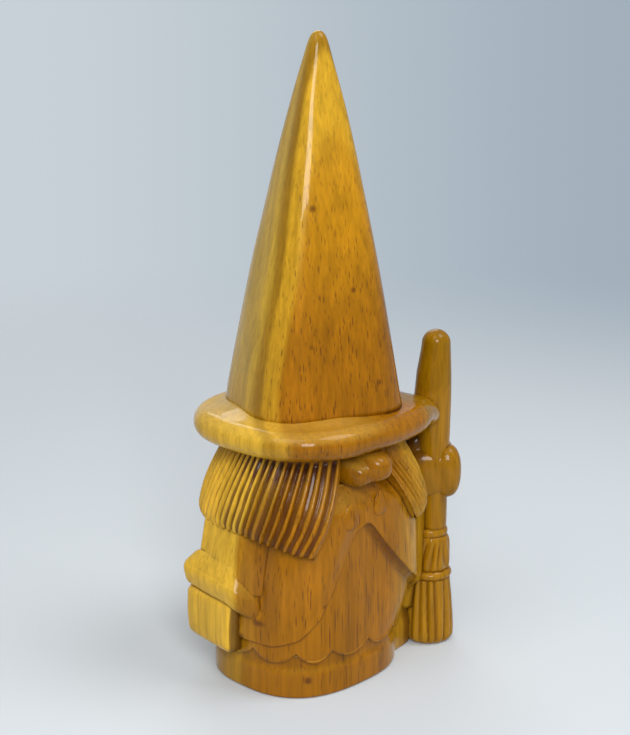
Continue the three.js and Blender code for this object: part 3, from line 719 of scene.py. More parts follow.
class WoodTones(bpy.types.PropertyGroup):
    heart: bpy.props.FloatVectorProperty(
        name="Heartwood", description="Amber wood in the front of the block",
        default=(0.41, 0.182, 0.004), **COLOUR)
    sap: bpy.props.FloatVectorProperty(
        name="Sapwood", description="Pale wood on the right side and the back",
        default=(0.60, 0.345, 0.028), **COLOUR)
    band: bpy.props.FloatVectorProperty(
        name="Dark band", description="Last ring before the sapwood",
        default=(0.27, 0.135, 0.005), **COLOUR)
    olive: bpy.props.FloatVectorProperty(
        name="Olive wood", description="Darker sapwood on the left side and the broom",
        default=(0.31, 0.142, 0.003), **COLOUR)
    # The stain colour is also used for painted shade and shadow in the lines, corners and gaps.
    stain: bpy.props.FloatVectorProperty(
        name="Stain", description="Dark stain in the carved lines",
        default=(0.075, 0.020, 0.004), **COLOUR)
    varnish: bpy.props.FloatProperty(
        name="Varnish", description="Strength of the clear coat",
        default=0.42, min=0, max=1, subtype="FACTOR")


class StageLook(bpy.types.PropertyGroup):
    floor: bpy.props.FloatVectorProperty(
        name="Floor", description="Colour of the floor", default=(0.60, 0.64, 0.67), **COLOUR)
    backdrop: bpy.props.FloatVectorProperty(
        name="Backdrop", description="Colour behind the figure", default=(0.58, 0.64, 0.68), **COLOUR)
    shade: bpy.props.FloatVectorProperty(
        name="Backdrop shade", description="Colour of the right side of the backdrop",
        default=(0.36, 0.43, 0.50), **COLOUR)
    room: bpy.props.FloatVectorProperty(
        name="Room", description="Colour of the room behind the camera", default=(0.36, 0.39, 0.43), **COLOUR)
    key: bpy.props.FloatProperty(
        name="Key light", description="Power of the soft light at the upper right", default=4.8, **POWER)
    window: bpy.props.FloatProperty(
        name="Window", description="Power of the square light beside the camera", default=6.4, **POWER)
    side: bpy.props.FloatProperty(
        name="Side light", description="Power of the broad light above the right arm", default=2.8, **POWER)
    rear: bpy.props.FloatProperty(
        name="Rear light", description="Power of the soft light behind the broom", default=2.6, **POWER)
    fill: bpy.props.FloatProperty(
        name="Fill", description="Strength of the light from all round", default=0.28, min=0)


# Body.
def carve_base(sizes):
    half = half_of("base_block")
    height = SPAN["base_block"][1].z
    edge = 0.0009
    undercut = 0.0009
    cap = 0.1

    def place(turn, rise):
        share, climb = capped(rise, cap, cap)
        z = height * climb
        inset = undercut * ease((z - 0.007) / 0.004)
        if z < edge:
            inset += edge - math.sqrt(edge ** 2 - (edge - z) ** 2)
        spot = plan_point(turn, half.x - inset, half.y - inset, BODY_SQUARENESS, z)
        return shrunk(spot + outward(turn) * broom_web(turn, z), share)

    def groove(turn, rise):
        return web_shade(turn, place(turn, rise).z)

    bm = turned_tube(40, 160)
    place_tube(bm, place, groove)
    for vert in bm.verts:
        if vert.co.z > edge:
            out = Vector((vert.co.x, vert.co.y, 0)).normalized()
            vert.co += out * sizes.knife_depth * noise.noise(vert.co / 0.009)
    make_piece(bm, "carved_base", "base_block", AMBER)


def carve_tunic(sizes):
    top = SPAN["tunic"][1].z
    base = half_of("base_block")
    lip = 0.0007
    tuck = 0.0006
    foot_cap, top_cap, rolled = 0.06, 0.05, 0.14

    def place(turn, rise):
        hem = hem_height(turn)
        share, climb = capped(rise, foot_cap, top_cap)
        if rise < foot_cap:
            return shrunk(plan_point(turn, base.x - tuck, base.y - tuck, BODY_SQUARENESS, hem + lip), share)
        if rise > 1 - top_cap:
            return shrunk(body_point(turn, top), share)
        if climb < rolled:
            bend = climb / rolled * math.pi
            fall = lip * (1 - math.sin(bend)) if bend < math.pi / 2 else lip * (1 + math.cos(bend))
            return body_point(turn, hem + fall, -lip * max(math.cos(bend), 0.0))
        return body_point(turn, mix(hem + lip, top, ((climb - rolled) / (1 - rolled)) ** 1.2))

    def groove(turn, rise):
        z = place(turn, rise).z
        # Painted shade on the tunic under the left edge of the cloak, and in the gap beside the bristles.
        painted_shade_under = 0.5 * left_edge(turn) * ease(1 - (cloak_edge(turn) - z) / 0.0075)
        return max(painted_shade_under, web_shade(turn, z))

    bm = turned_tube(90, 360)
    place_tube(bm, place, groove)
    knife_marks(bm, sizes.knife_depth, 0.010)
    make_piece(bm, "carved_tunic", "tunic", AMBER)


def carve_cloak(sizes):
    top = SPAN["cloak"][1].z + 0.0015
    shoulder = SPAN["tunic"][1].z - 0.002
    loops, steps = 88, 480
    lip = 0.0007
    sunk = -0.0012
    lip_from, bevel_from, bevel_to = 0.55, 0.63, 0.74

    def stand(turn, z):
        """Thick along the left edge of the opening, thin along the right."""
        angle = math.degrees(turn)
        thin = ease((angle + 178) / 20) * ease((-90 - angle) / 10)
        near = ease(1 - (z - cloak_edge(turn)) / 0.012)
        valley = 0.0013 * bell(angle + 162, 8) * ease((z - 0.024) / 0.006)
        return mix(CLOAK_STAND, CLOAK_THIN, thin * near) - valley

    def outside(turn, z, out):
        return body_point(turn, z, out - COLLAR_TAPER * ease((z - shoulder) / (top - shoulder)))

    def place(turn, around):
        slant = CLOAK_BEVEL * left_edge(turn)
        foot = cloak_edge(turn) + slant * 0.35
        thick = stand(turn, foot)
        round_off = min(lip, thick * 0.6)
        if around < lip_from:
            z = mix(top, foot + round_off, around / lip_from)
            return outside(turn, z, stand(turn, z))
        if around < bevel_from:
            bend = (around - lip_from) / (bevel_from - lip_from) * math.pi / 2
            z = foot + round_off * (1 - math.sin(bend))
            return outside(turn, z, thick - round_off * (1 - math.cos(bend)))
        if around < bevel_to:
            share = (around - bevel_from) / (bevel_to - bevel_from)
            return outside(turn, foot - slant * share, mix(thick - round_off, sunk, share))
        return outside(turn, mix(foot - slant, top, (around - bevel_to) / (1 - bevel_to)), sunk)

    def groove(turn, around):
        """Painted shadow under the left edge of the opening, and in the corners under the sleeve and the
        cuff.
        """
        if 0.60 < around < 0.76:
            return 0.60 * left_edge(turn) * (1 - 0.45 * ease((around - bevel_from) / (bevel_to - bevel_from)))
        if around > 0.60:
            return 0.0
        angle, z = math.degrees(turn), place(turn, around).z
        wide, tall = PAINTED_SHADOW_HALF
        return 0.74 * max(bell(angle - at, wide) * bell(z - level, tall) for at, level in PAINTED_SHADOWS)

    bm = hoop(loops, steps, True)
    place_hoop(bm, loops, place, groove)
    knife_marks(bm, sizes.knife_depth, 0.011)
    make_piece(bm, "carved_cloak", "cloak", AMBER)


def carve_tie(sizes, side, lift):
    half = Vector((0.0026, 0.0006, 0.0039))
    centre = middle_of("cloak_tie_" + side)
    bm = block(14)
    for vert in bm.verts:
        ball = swollen(vert.co, 2.2)
        rim = 0.75 + 0.35 * math.sin(clamp(math.hypot(ball.x, ball.z)) * math.pi)
        x = centre.x + half.x * ball.x * (1 - 0.42 * ball.z)
        z = centre.z + lift + half.z * ball.z
        vert.co = Vector((x, front_of(x, z, CLOAK_STAND) + ball.y * half.y * rim, z))
    knife_marks(bm, sizes.knife_depth * 0.5, 0.003)
    make_piece(bm, "carved_tie_" + side, "cloak_tie_" + side, AMBER)


# Head, hair and hat.
def carve_head(sizes):
    low, high = SPAN["head"]
    half = half_of("head")
    cap = 0.15

    def place(turn, rise):
        share, climb = capped(rise, cap, cap)
        z = mix(low.z, high.z + 0.0015, climb)
        return shrunk(plan_point(turn, half.x, half.y, BODY_SQUARENESS, z), share)

    bm = turned_tube(30, 120)
    place_tube(bm, place)
    knife_marks(bm, sizes.knife_depth, 0.008)
    make_piece(bm, "carved_head", "head", AMBER)


def carve_nose():
    low, high = SPAN["nose"]
    face = middle_of("nose").x
    height = (high.z + low.z) / 2
    root = 0.001 - half_of("head").y
    reach = root - low.y
    tall = (high.z - low.z) / 2
    lumps = []
    for across, lift, wide, share, size, squareness in (
        (0.0006, 0.0006, 0.0056, 1.0, 1.10, 2.6),
        (-0.0044, -0.0012, 0.0048, 0.76, 0.92, 2.5),
        (0.0048, -0.0010, 0.0034, 0.62, 0.8, 2.4),
    ):
        centre = Vector((face + across, root, height + lift))
        axes = Vector((wide, 0, 0)), Vector((0, reach * share, 0.0010)), Vector((0, 0, tall * size))
        lumps.append((centre, axes, squareness))
    piece = make_piece(pebbles(lumps), "carved_nose", "nose", AMBER)
    fuse(piece, 0.0003, 26)


def hair_half(z):
    """Half width and half depth of the outside of the hair at a height."""
    fall = clamp((HAIR_TOP - z) / (HAIR_TOP - HAIR_HEM - HAIR_ROUND))
    share = mix(fall, math.sin(fall * math.pi / 2), 0.7)
    return mix(HAIR_TOP_HALF[0], HAIR_WIDE, share), mix(HAIR_TOP_HALF[1], HAIR_DEEP, share)


def hair_turn(x, z, front):
    """The turn at which the outside of the hair crosses an upright plane."""
    a, b = hair_half(z)
    across = clamp((x - HAIR_MIDDLE[0]) / a, -0.98, 0.98)
    along = b * (1 - abs(across) ** BODY_SQUARENESS) ** (1 / BODY_SQUARENESS)
    return math.atan2(-along if front else along, across * a)


def carve_lock(depth, part, node, strands):
    """One part of the hair, as strands with grooves between them."""
    groove_top = HAIR_TOP - 0.0012
    hidden_top = HAIR_TOP + 0.0015
    loops = 64
    outside, underside = 0.62, 0.67
    seam_right = hair_turn(-SEAM_X, HAIR_HEM + HAIR_ROUND, False) - math.tau
    seam_left = hair_turn(SEAM_X, HAIR_HEM + HAIR_ROUND, False)
    edge_strands = 1.5 if part == "left" else 0.6

    def spread(share, z):
        """The turn at a share of the way across, with the strands of the left closer together in front."""
        if part == "back":
            return mix(seam_left, seam_right + math.tau, share)
        if part == "right":
            edge = PARTING_MIDDLE - PARTING_HALF - PARTING_RIGHT_FLARE * max(HAIR_TOP - z, 0)
            return mix(hair_turn(edge, z, True), seam_right, share * mix(1.25, 1, share))
        edge = PARTING_MIDDLE + PARTING_HALF + PARTING_LEFT_FLARE * max(PARTING_KNEE - z, 0)
        return mix(hair_turn(edge, z, True), seam_left, share * mix(0.5, 1, share))

    def lane(share, z):
        """How far a point is from the crest of its strand, from 0 to 1, and the strand's own depth."""
        waver = 0.11 * noise.noise(Vector((share * strands * 0.4, z * 60, strands)))
        phase = share * strands + waver
        vary = 0.82 + 0.36 * noise.cell(Vector((math.floor(phase) * 3.7 + 0.5, strands * 1.3, 0.5)))
        return abs(2 * (phase % 1) - 1), vary

    def sunken(off, z):
        return ease(off * 1.6 - 0.15) * ease((groove_top - z) / 0.0022)

    def cut(share, z):
        off, vary = lane(share, z)
        return depth * vary * sunken(off, z)

    def level(share, around):
        """Height of a point, down the outside, under the tips and up inside, and the height of the tip."""
        tip = HAIR_RIGHT_TIP if part == "right" else HAIR_LEFT_TIP
        foot = HAIR_HEM - tip * max(0.0, -math.sin(spread(share, HAIR_HEM))) ** 2
        if around < outside:
            return mix(hidden_top, foot, around / outside), foot
        return mix(foot + 0.0002, hidden_top, clamp((around - underside) / (1 - underside))), foot

    def place(turn, around):
        share = clamp(turn)
        z, foot = level(share, around)
        a, b = hair_half(z)
        rim = min(share, 1 - share) * strands
        tuck = LOCK_THICK / 2 * (1 - math.sqrt(1 - (1 - clamp(rim / edge_strands)) ** 2))
        if around < outside:
            bottom = clamp((foot + HAIR_ROUND - z) / HAIR_ROUND)
            inset = 0.0022 * (1 - math.sqrt(1 - bottom ** 2 * 0.96)) + max(cut(share, z), tuck)
        else:
            back = (around - outside) / (1 - outside)
            root = 0.0054 * ease(back / 0.2) * ease(rim / 2)
            inset = LOCK_THICK + root + cut(share, z) * clamp(1 - back / 0.12) - tuck * 0.98
        angle = spread(share, z)
        corner = math.cos(angle) > 0 and math.sin(angle) < 0
        square = HAIR_CORNER_SQUARENESS if corner else BODY_SQUARENESS
        return plan_point(angle, a - inset, b - inset, square, z, HAIR_MIDDLE)

    def groove(turn, around):
        """Stain and painted shade lie in the grooves, with more stain in front and painted shade under the
        brim.
        """
        share = clamp(turn)
        # The inner faces get painted shade.
        if around >= outside:
            return 0.55 if part == "right" else 0.3
        z = level(share, around)[0]
        sunk = sunken(lane(share, z)[0], z) * ease(min(share, 1 - share) * strands / 0.4)
        ahead = ease(1.9 - 2.6 * share) if part == "right" else 0.0
        painted_shade_under = 0.32 * ahead * ease((z - groove_top + 0.008) / 0.005)
        patch = noise.noise(Vector((share * strands * 0.7, z * 240, 3.0)))
        even = sunk ** 1.7 * (mix(0.56, 0.62, ahead) + 0.22 * patch)
        return clamp(min(even + 0.14 * ahead + max(0.20 * ahead * patch, 0.0), 0.58) + sunk * painted_shade_under)

    bm = hoop(loops, strands * 14, False)
    place_hoop(bm, loops, place, groove)
    make_piece(bm, "carved_" + node, node, STAINED)


def carve_brim(sizes):
    thick = 0.0106
    bottom = SPAN["hat_crown"][0].z - 0.0003 - thick
    roll = 0.0046
    hollow = 0.0009
    half = (0.036, 0.0325)
    crown = half_of("hat_crown")
    overhang = half[0] - crown.x
    inner = overhang + 0.0012
    middle = half[1] * 0.98

    def section(rise):
        """Inset from the edge and height above the underside, from the middle of the underside round."""
        if rise < 0.12:
            return mix(middle, roll * 1.7, rise / 0.12), hollow
        if rise < 0.20:
            share = (rise - 0.12) / 0.08
            return mix(roll * 1.7, roll, share), hollow * (1 - ease(share))
        if rise < 0.72:
            bend = math.radians(mix(-90, 84, (rise - 0.20) / 0.52))
            return roll * (1 - math.cos(bend)), roll * (1 + math.sin(bend))
        if rise < 0.90:
            share = (rise - 0.72) / 0.18
            return mix(roll * 0.895, inner, share), mix(roll * 1.994, thick, share ** 1.4)
        return mix(inner, middle, (rise - 0.90) / 0.10), thick

    def place(turn, rise):
        inset, height = section(rise)
        if rise in (0.0, 1.0):
            return Vector((HAT_X, HAT_Y, bottom + height))
        reach = WEB_REACH * bell(turned_from(turn, WEB_TURN), WEB_WIDTH) * clamp(1 - inset / 0.012)
        a, b = max(half[0] - inset, 0.0005), max(half[1] - inset, 0.0005)
        spot = plan_point(turn, a, b, BODY_SQUARENESS, 0, (HAT_X, HAT_Y)) + outward(turn) * reach
        droop = BRIM_DROOP * max(0.0, (spot.x - HAT_X - crown.x) / overhang) ** 1.5
        spot.z = bottom + height - min(droop, BRIM_DROOP_MOST)
        return spot

    bm = turned_tube(70, 288)
    place_tube(bm, place)
    knife_marks(bm, sizes.knife_depth * 1.5, 0.012, 0.7)
    make_piece(bm, "carved_brim", "hat_brim", AMBER)


def carve_crown(sizes):
    low, high = SPAN["hat_crown"]
    half = half_of("hat_crown") * CROWN_SHARE
    sink = 0.0016
    cap = 0.03

    def place(turn, rise):
        if rise < cap:
            spot = plan_point(turn, half.x, half.y, HAT_SQUARENESS, low.z - sink, (HAT_X, HAT_Y), HAT_TURN)
            share = rise / cap
            return Vector((mix(HAT_X, spot.x, share), mix(HAT_Y, spot.y, share), spot.z))
        left = max(1 - (rise - cap) / (1 - cap), 1e-6) ** 1.7
        climb = 1 - left
        taper = left ** (CROWN_FULLNESS - CROWN_BLUNT * math.exp(-left / BLUNT_SHARE))
        z = mix(low.z - sink * left ** 8, high.z, climb)
        lean = CROWN_LEAN * climb
        square = mix(HAT_SQUARENESS, TIP_SQUARENESS, ease((climb - 0.8) / 0.2))
        centre = (HAT_X + lean, HAT_Y - lean)
        return plan_point(turn, half.x * taper, half.y * taper, square, z, centre, HAT_TURN)

    bm = turned_tube(130, 240)
    place_tube(bm, place)
    bm.normal_update()
    for vert in bm.verts:
        up = (vert.co.z - low.z) / (high.z - low.z)
        fade = clamp((1 - up) * 9) * clamp(up * 30)
        spot = Vector((vert.co.x / 0.009, vert.co.y / 0.009, vert.co.z / 0.034))
        vert.co += vert.normal * sizes.knife_depth * 1.2 * fade * noise.noise(spot)
    make_piece(bm, "carved_crown", "hat_crown", AMBER)


# Arms.
def carve_slab(box, stand, radius, cuts, stain, settle, upright=False):
    """A rounded slab on the right side, from box's front, back, bottom and top, standing out from the tunic.

    settle(ahead, up, inward) says how much deeper, further forward and higher each point goes.
    """
    front, back, bottom, top = box
    half = Vector(((front - back) / 2, (top - bottom) / 2, stand / 2))
    level = (bottom + top) / 2
    bm = block(cuts)
    layer = bm.verts.layers.float.new(CREVICE)
    for vert in bm.verts:
        forward, rise, out = eased_block(vert.co, half, radius)
        inward = half.z - out
        ahead = (forward / half.x + 1) / 2
        deeper, further, higher = settle(ahead, rise / half.y, inward)
        z = level + rise + higher
        x = -right_width(level if upright else z) - stand + inward + deeper
        vert.co = Vector((x, -((front + back) / 2 + forward + further), z))
        # The stain mark here is painted shade on the front face next to the body.
        vert[layer] = stain * ease(forward / half.x * 5 - 3.6) * ease(inward / half.z * 3 - 0.2)
    return bm


def carve_right_sleeve(sizes):
    def settle(ahead, up, inward):
        return -0.0004 * (1 - (2 * ahead - 1) ** 2), inward * mix(-0.5, 0.95, ahead), 0.0

    box = (0.0038, -0.0135, 0.0328, SPAN["right_sleeve"][1].z + 0.005)
    bm = carve_slab(box, CLOAK_STAND + 0.0044, 0.0008, 30, 0.40, settle)
    knife_marks(bm, sizes.knife_depth * 1.2, 0.009)
    make_piece(bm, "carved_right_sleeve", "right_sleeve", PALE)


def carve_right_cuff(sizes):
    def settle(ahead, up, inward):
        """The front end turns down, and a cove runs behind the upper edge."""
        turned = ease((ahead - 0.76) / 0.24)
        cove = 1.7 * min(max(inward - 0.0006, 0.0), 0.0024) * (up + 1) / 2 * (1 - turned) * ease(ahead / 0.25)
        higher = cove - 0.72 * inward * turned - CUFF_TILT * ahead
        return 0.0011 * ease((0.35 - up) / 1.35), inward * 0.62 * ease(ahead), higher

    box = (0.0053, -0.0190, 0.0308, 0.0399)
    bm = carve_slab(box, CLOAK_STAND + 0.0064, 0.0028, 34, 0.4, settle, upright=True)
    knife_marks(bm, sizes.knife_depth * 1.2, 0.007)
    make_piece(bm, "carved_right_cuff", "right_cuff", PALE)


def carve_right_hand(sizes):
    def settle(ahead, up, inward):
        sink = (1 - up) / 2
        return 0.0016 * sink ** 3, -0.0014 * sink * ahead, 0.0022 * sink * (1 - ahead) ** 2

    box = (0.0030, -0.0193, 0.0122, SPAN["right_hand"][1].z + 0.002)
    bm = carve_slab(box, CLOAK_STAND + 0.0042, 0.0030, 28, 0.86, settle)
    knife_marks(bm, sizes.knife_depth * 1.4, 0.008)
    make_piece(bm, "carved_right_hand", "right_hand", PALE)


def carve_left_sleeve(sizes):
    low, high = SPAN["left_sleeve"]
    centre = Vector((0.032, -0.0051, (low.z + high.z) / 2))
    half = Vector((0.0095, 0.0085, (high.z - low.z) / 2 + 0.001))
    bm = block(24)
    layer = bm.verts.layers.float.new(CREVICE)
    for vert in bm.verts:
        vert.co = centre + eased_block(vert.co, half, 0.0034)
        # Painted deep shadow on the top of the sleeve, in the hollow behind the hair.
        shadowed_top = ease((vert.co.z - high.z + 0.009) / 0.005)
        vert[layer] = 0.95 * shadowed_top * ease((centre.y - vert.co.y) / 0.004)
    knife_marks(bm, sizes.knife_depth * 1.4, 0.009)
    make_piece(bm, "carved_left_sleeve", "left_sleeve", PALE)


def carve_left_cuff(sizes):
    start = Vector((0.0368, -0.0051, 0.0502))
    along = (middle_of("left_hand") - start).normalized()
    turn = Vector((0, 0, 1)).rotation_difference(along)
    bm = block(18)
    for vert in bm.verts:
        ball = swollen(vert.co, 3.2)
        spot = Vector((ball.x * 0.0056, ball.y * 0.0056, ball.z * 0.0058 + 0.0052))
        vert.co = start + turn @ spot
    knife_marks(bm, sizes.knife_depth, 0.006)
    make_piece(bm, "carved_left_cuff", "left_cuff", PALE)


def carve_fist():
    stick = middle_of("broom_stick")
    grip = Vector((stick.x, stick.y, middle_of("left_hand").z))
    up = Vector((0, 0, 1))
    lumps = []
    for aside, toward, lift, wide, deep, tall, squareness in (
        (-0.0020, 0.0010, 0.0000, 0.0072, 0.0050, 0.0086, 2.6),
        (0.0048, 0.0006, 0.0004, 0.0048, 0.0054, 0.0090, 2.3),
        (-0.0010, -0.0040, 0.0016, 0.0088, 0.0060, 0.0096, 2.8),
        (0.0016, 0.0004, -0.0088, 0.0032, 0.0036, 0.0034, 2.2),
        (-0.0056, -0.0010, 0.0066, 0.0038, 0.0042, 0.0072, 2.4),
    ):
        centre = grip + ASIDE * aside + TOWARD * toward + up * lift
        lumps.append((centre, (ASIDE * wide, TOWARD * deep, up * tall), squareness))
    piece = make_piece(pebbles(lumps), "carved_left_hand", "left_hand", PALE)
    fuse(piece, 0.00035, 14)
    # Painted shade on the side of the fist towards the body, stronger upwards, over a little darkening all
    # over.
    layer = piece.data.attributes.new(CREVICE, "FLOAT", "POINT")
    for vert, mark in zip(piece.data.vertices, layer.data):
        inner = ease((grip - vert.co).dot(ASIDE) / 0.004)
        mark.value = max(0.34, 0.9 * inner * ease((vert.co.z - grip.z + 0.006) / 0.018))


# Broom.
def from_axis(axis, turn, reach, z):
    return Vector((axis.x + reach * math.cos(turn), axis.y + reach * math.sin(turn), z))


def carve_stick(sizes):
    high = SPAN["broom_stick"][1].z + 0.0006
    axis = middle_of("broom_stick")
    foot = SPAN["broom_collar"][1].z - 0.001
    narrow, wide = 0.0044, 0.0058
    swell = ((0, 0.0), (0.25, 0.05), (0.5, 0.6), (0.72, 1.0), (0.85, 0.7), (0.96, 0.15), (1, 0.0))
    cap, dome = 0.03, 0.88

    def place(turn, rise):
        climb = clamp((rise - cap) / (dome - cap))
        z = mix(foot, high - narrow, climb)
        fat = along_table(climb, swell)
        reach = mix(narrow, wide, fat) * min(rise / cap, 1.0)
        if rise > dome:
            bend = (rise - dome) / (1 - dome) * math.pi / 2
            z = high - narrow + narrow * math.sin(bend)
            reach = narrow * max(math.cos(bend), 1e-4)
        reach = max(reach, WELD)
        side = mix(0.0006, -0.0004, fat)
        centre = (axis.x + ASIDE.x * side, axis.y + ASIDE.y * side)
        return plan_point(turn, reach, reach, STICK_SQUARENESS, z, centre)

    bm = turned_tube(96, 56)
    place_tube(bm, place)
    knife_marks(bm, sizes.knife_depth * 1.2, 0.007)
    make_piece(bm, "carved_stick", "broom_stick", PALE)


def carve_ring(sizes, node, name, bulge):
    """The collar or the band: a bead round the broom."""
    low, high = SPAN[node]
    axis = middle_of("broom_stick")
    reach = half_of(node).x
    ease_in = 0.0009
    cap = 0.15

    def place(turn, rise):
        share, climb = capped(rise, cap, cap)
        out = reach - ease_in + (ease_in + bulge) * math.sin(climb * math.pi) ** 0.6
        return from_axis(axis, turn, out * share, mix(low.z - 0.0003, high.z + 0.0003, climb))

    bm = turned_tube(26, 72)
    place_tube(bm, place)
    knife_marks(bm, sizes.knife_depth * 0.6, 0.004)
    make_piece(bm, name, node, PALE)


def carve_broom_head(sizes):
    low, high = SPAN["broom_head"]
    axis = middle_of("broom_stick")
    wide = half_of("broom_head").x + 0.0004
    grooves = 15
    cap = 0.08

    def cut(turn, climb):
        waver = 0.35 * math.sin(climb * 2.4 + 2 * math.sin(turn * 2))
        off = abs(2 * (((turn / math.tau + 0.5) * grooves + waver) % 1) - 1)
        return off ** 1.6 * math.sin(clamp(climb * 1.05) * math.pi) ** 0.35

    def place(turn, rise):
        share, climb = capped(rise, cap, cap)
        out = mix(wide, wide - 0.0004, climb) - 0.0009 * (2 * climb - 1) ** 6
        out -= sizes.bristle_depth * 0.75 * cut(turn, climb)
        return from_axis(axis, turn, out * share, mix(low.z - 0.0003, high.z + 0.0003, climb))

    def groove(turn, rise):
        return 0.64 * cut(turn, capped(rise, cap, cap)[1])

    bm = turned_tube(50, grooves * 14)
    place_tube(bm, place, groove)
    make_piece(bm, "carved_broom_head", "broom_head", PALE)


def carve_bristles(sizes):
    low, high = SPAN["broom_bristles"]
    axis = middle_of("broom_stick") - ASIDE * 0.0004
    foot = half_of("broom_bristles").x + 0.0004
    neck = 0.0071
    edge = 0.0030
    grooves = 17
    foot_cap, top_cap = 0.08, 0.05

    def cut(turn, climb):
        waver = 0.45 * noise.noise(Vector((math.cos(turn) * 1.4, math.sin(turn) * 1.4, climb * 0.5)))
        phase = (turn / math.tau + 0.5) * grooves + waver
        vary = 0.7 + 0.6 * noise.cell(Vector((math.floor(phase) % grooves * 2.3 + 0.5, 7.5, 0.5)))
        off = abs(2 * (phase % 1) - 1)
        return vary * off ** 1.5 * clamp(climb * (high.z - low.z) / 0.0015)

    def place(turn, rise):
        share, climb = capped(rise, foot_cap, top_cap)
        z = mix(low.z, high.z + 0.0003, climb)
        out = mix(foot, neck, clamp((climb - 0.12) / 0.88) ** 1.5)
        if z < edge:
            out -= 0.0028 * (1 - math.sqrt(max(1 - (1 - z / edge) ** 2, 0)))
        return from_axis(axis, turn, (out - sizes.bristle_depth * cut(turn, climb)) * share, z)

    def groove(turn, rise):
        return 0.7 * cut(turn, capped(rise, foot_cap, top_cap)[1])

    bm = turned_tube(64, grooves * 14)
    place_tube(bm, place, groove)
    make_piece(bm, "carved_bristles", "broom_bristles", PALE)


# Stain and painted shade.
def settle_stain_and_shade(mesh, others, reach, firm):
    """Marks each point with its groove, or with how near it is to another piece in front of it: stain
    deepened as painted shade.
    """
    layer = mesh.attributes.get(CREVICE) or mesh.attributes.new(CREVICE, "FLOAT", "POINT")
    for vert, normal, mark in zip(mesh.vertices, mesh.vertex_normals, layer.data):
        spot = vert.co
        for tree, low, high, line in others:
            if not all(low[axis] < spot[axis] < high[axis] for axis in range(3)):
                continue
            found, _, _, gap = tree.find_nearest(spot, reach)
            if found is not None and (found - spot).dot(normal.vector) > -0.25 * gap:
                mark.value = max(mark.value, min(firm, line) * (1 - gap / reach))


def stain_and_shade_lines(scene, reach):
    """Darkens the lines between the carved pieces with stain and painted shade."""
    pieces = [obj for obj in scene.objects if obj.name.startswith("carved_")]
    trees = {}
    for piece in pieces:
        mesh = piece.data
        points = [vert.co.copy() for vert in mesh.vertices]
        low = Vector([min(point[axis] for point in points) - reach for axis in range(3)])
        high = Vector([max(point[axis] for point in points) + reach for axis in range(3)])
        tree = BVHTree.FromPolygons(points, [poly.vertices[:] for poly in mesh.polygons])
        trees[piece.name] = tree, low, high, SOFT_LINE if "tie" in piece.name else FIRM_LINE
    for piece in pieces:
        others = [entry for name, entry in trees.items() if name != piece.name]
        settle_stain_and_shade(piece.data, others, reach, trees[piece.name][3])


# Stage.
def lay_floor(look):
    """A round sheet of paper that fades out at its rim."""
    bm = bmesh.new()
    bmesh.ops.create_circle(bm, cap_ends=True, segments=96, radius=3.0)
    mesh = bpy.data.meshes.new("floor")
    bm.to_mesh(mesh)
    bm.free()
    floor = bpy.data.objects.new("floor", mesh)
    bpy.context.scene.collection.objects.link(floor)
    material = bpy.data.materials.new("floor_paper")
    material.use_nodes = True
    tree = material.node_tree
    shader = tree.nodes["Principled BSDF"]
    shader.inputs["Base Color"].default_value = (*look.floor, 1)
    shader.inputs["Roughness"].default_value = 0.9
    away = vector_node(tree, "LENGTH", add_node(tree, "ShaderNodeTexCoord").outputs["Object"])
    tree.links.new(ramp(tree, away, 0.18, 0.75, 1.0, 0.0), shader.inputs["Alpha"])
    mesh.materials.append(material)


def light_world(scene, look):
    """An even fill, with a pale backdrop behind the figure and a darker room behind the camera."""
    world = bpy.data.worlds.new("studio")
    scene.world = world
    world.use_nodes = True
    tree = world.node_tree
    tree.nodes.clear()
    light = add_node(tree, "ShaderNodeBackground")
    light.inputs["Color"].default_value = (0.96, 0.98, 1.0, 1)
    light.inputs["Strength"].default_value = look.fill
    coords = add_node(tree, "ShaderNodeTexCoord").outputs["Generated"]
    behind = ramp(tree, vector_node(tree, "DOT_PRODUCT", coords, -TOWARD), -0.35, 0.35)
    shaded = ramp(tree, vector_node(tree, "DOT_PRODUCT", coords, ASIDE), -0.22, 0.24)
    backdrop = blend_colour(tree, shaded, (*look.backdrop, 1), (*look.shade, 1))
    seen = add_node(tree, "ShaderNodeBackground")
    tree.links.new(blend_colour(tree, behind, (*look.room, 1), backdrop), seen.inputs["Color"])
    path = add_node(tree, "ShaderNodeLightPath").outputs
    shown = math_node(tree, "MAXIMUM", path["Is Camera Ray"], path["Is Glossy Ray"])
    shown = math_node(tree, "MAXIMUM", shown, path["Is Transmission Ray"])
    blend = add_node(tree, "ShaderNodeMixShader")
    output = add_node(tree, "ShaderNodeOutputWorld")
    tree.links.new(shown, blend.inputs["Fac"])
    tree.links.new(light.outputs["Background"], blend.inputs[1])
    tree.links.new(seen.outputs["Background"], blend.inputs[2])
    tree.links.new(blend.outputs["Shader"], output.inputs["Surface"])


def hang_lamps(scene, look):
    target = Vector((0, 0, 0.09))
    for name, size, place in (
        ("key", (0.5, 0.5), Vector((0.28, -0.50, 1.02))),
        ("window", (0.34, 0.34), Vector((-0.54, -0.66, 0.54))),
        ("side", (0.6, 0.5), Vector((-0.55, -0.12, 0.95))),
        ("rear", (0.6, 0.6), Vector((0.50, 0.62, 0.80))),
    ):
        lamp = bpy.data.lights.new(name, "AREA")
        lamp.shape = "RECTANGLE"
        lamp.size, lamp.size_y = size
        lamp.energy = getattr(look, name)
        holder = bpy.data.objects.new(name, lamp)
        holder.location = place
        holder.rotation_euler = (target - place).to_track_quat("-Z", "Y").to_euler()
        scene.collection.objects.link(holder)


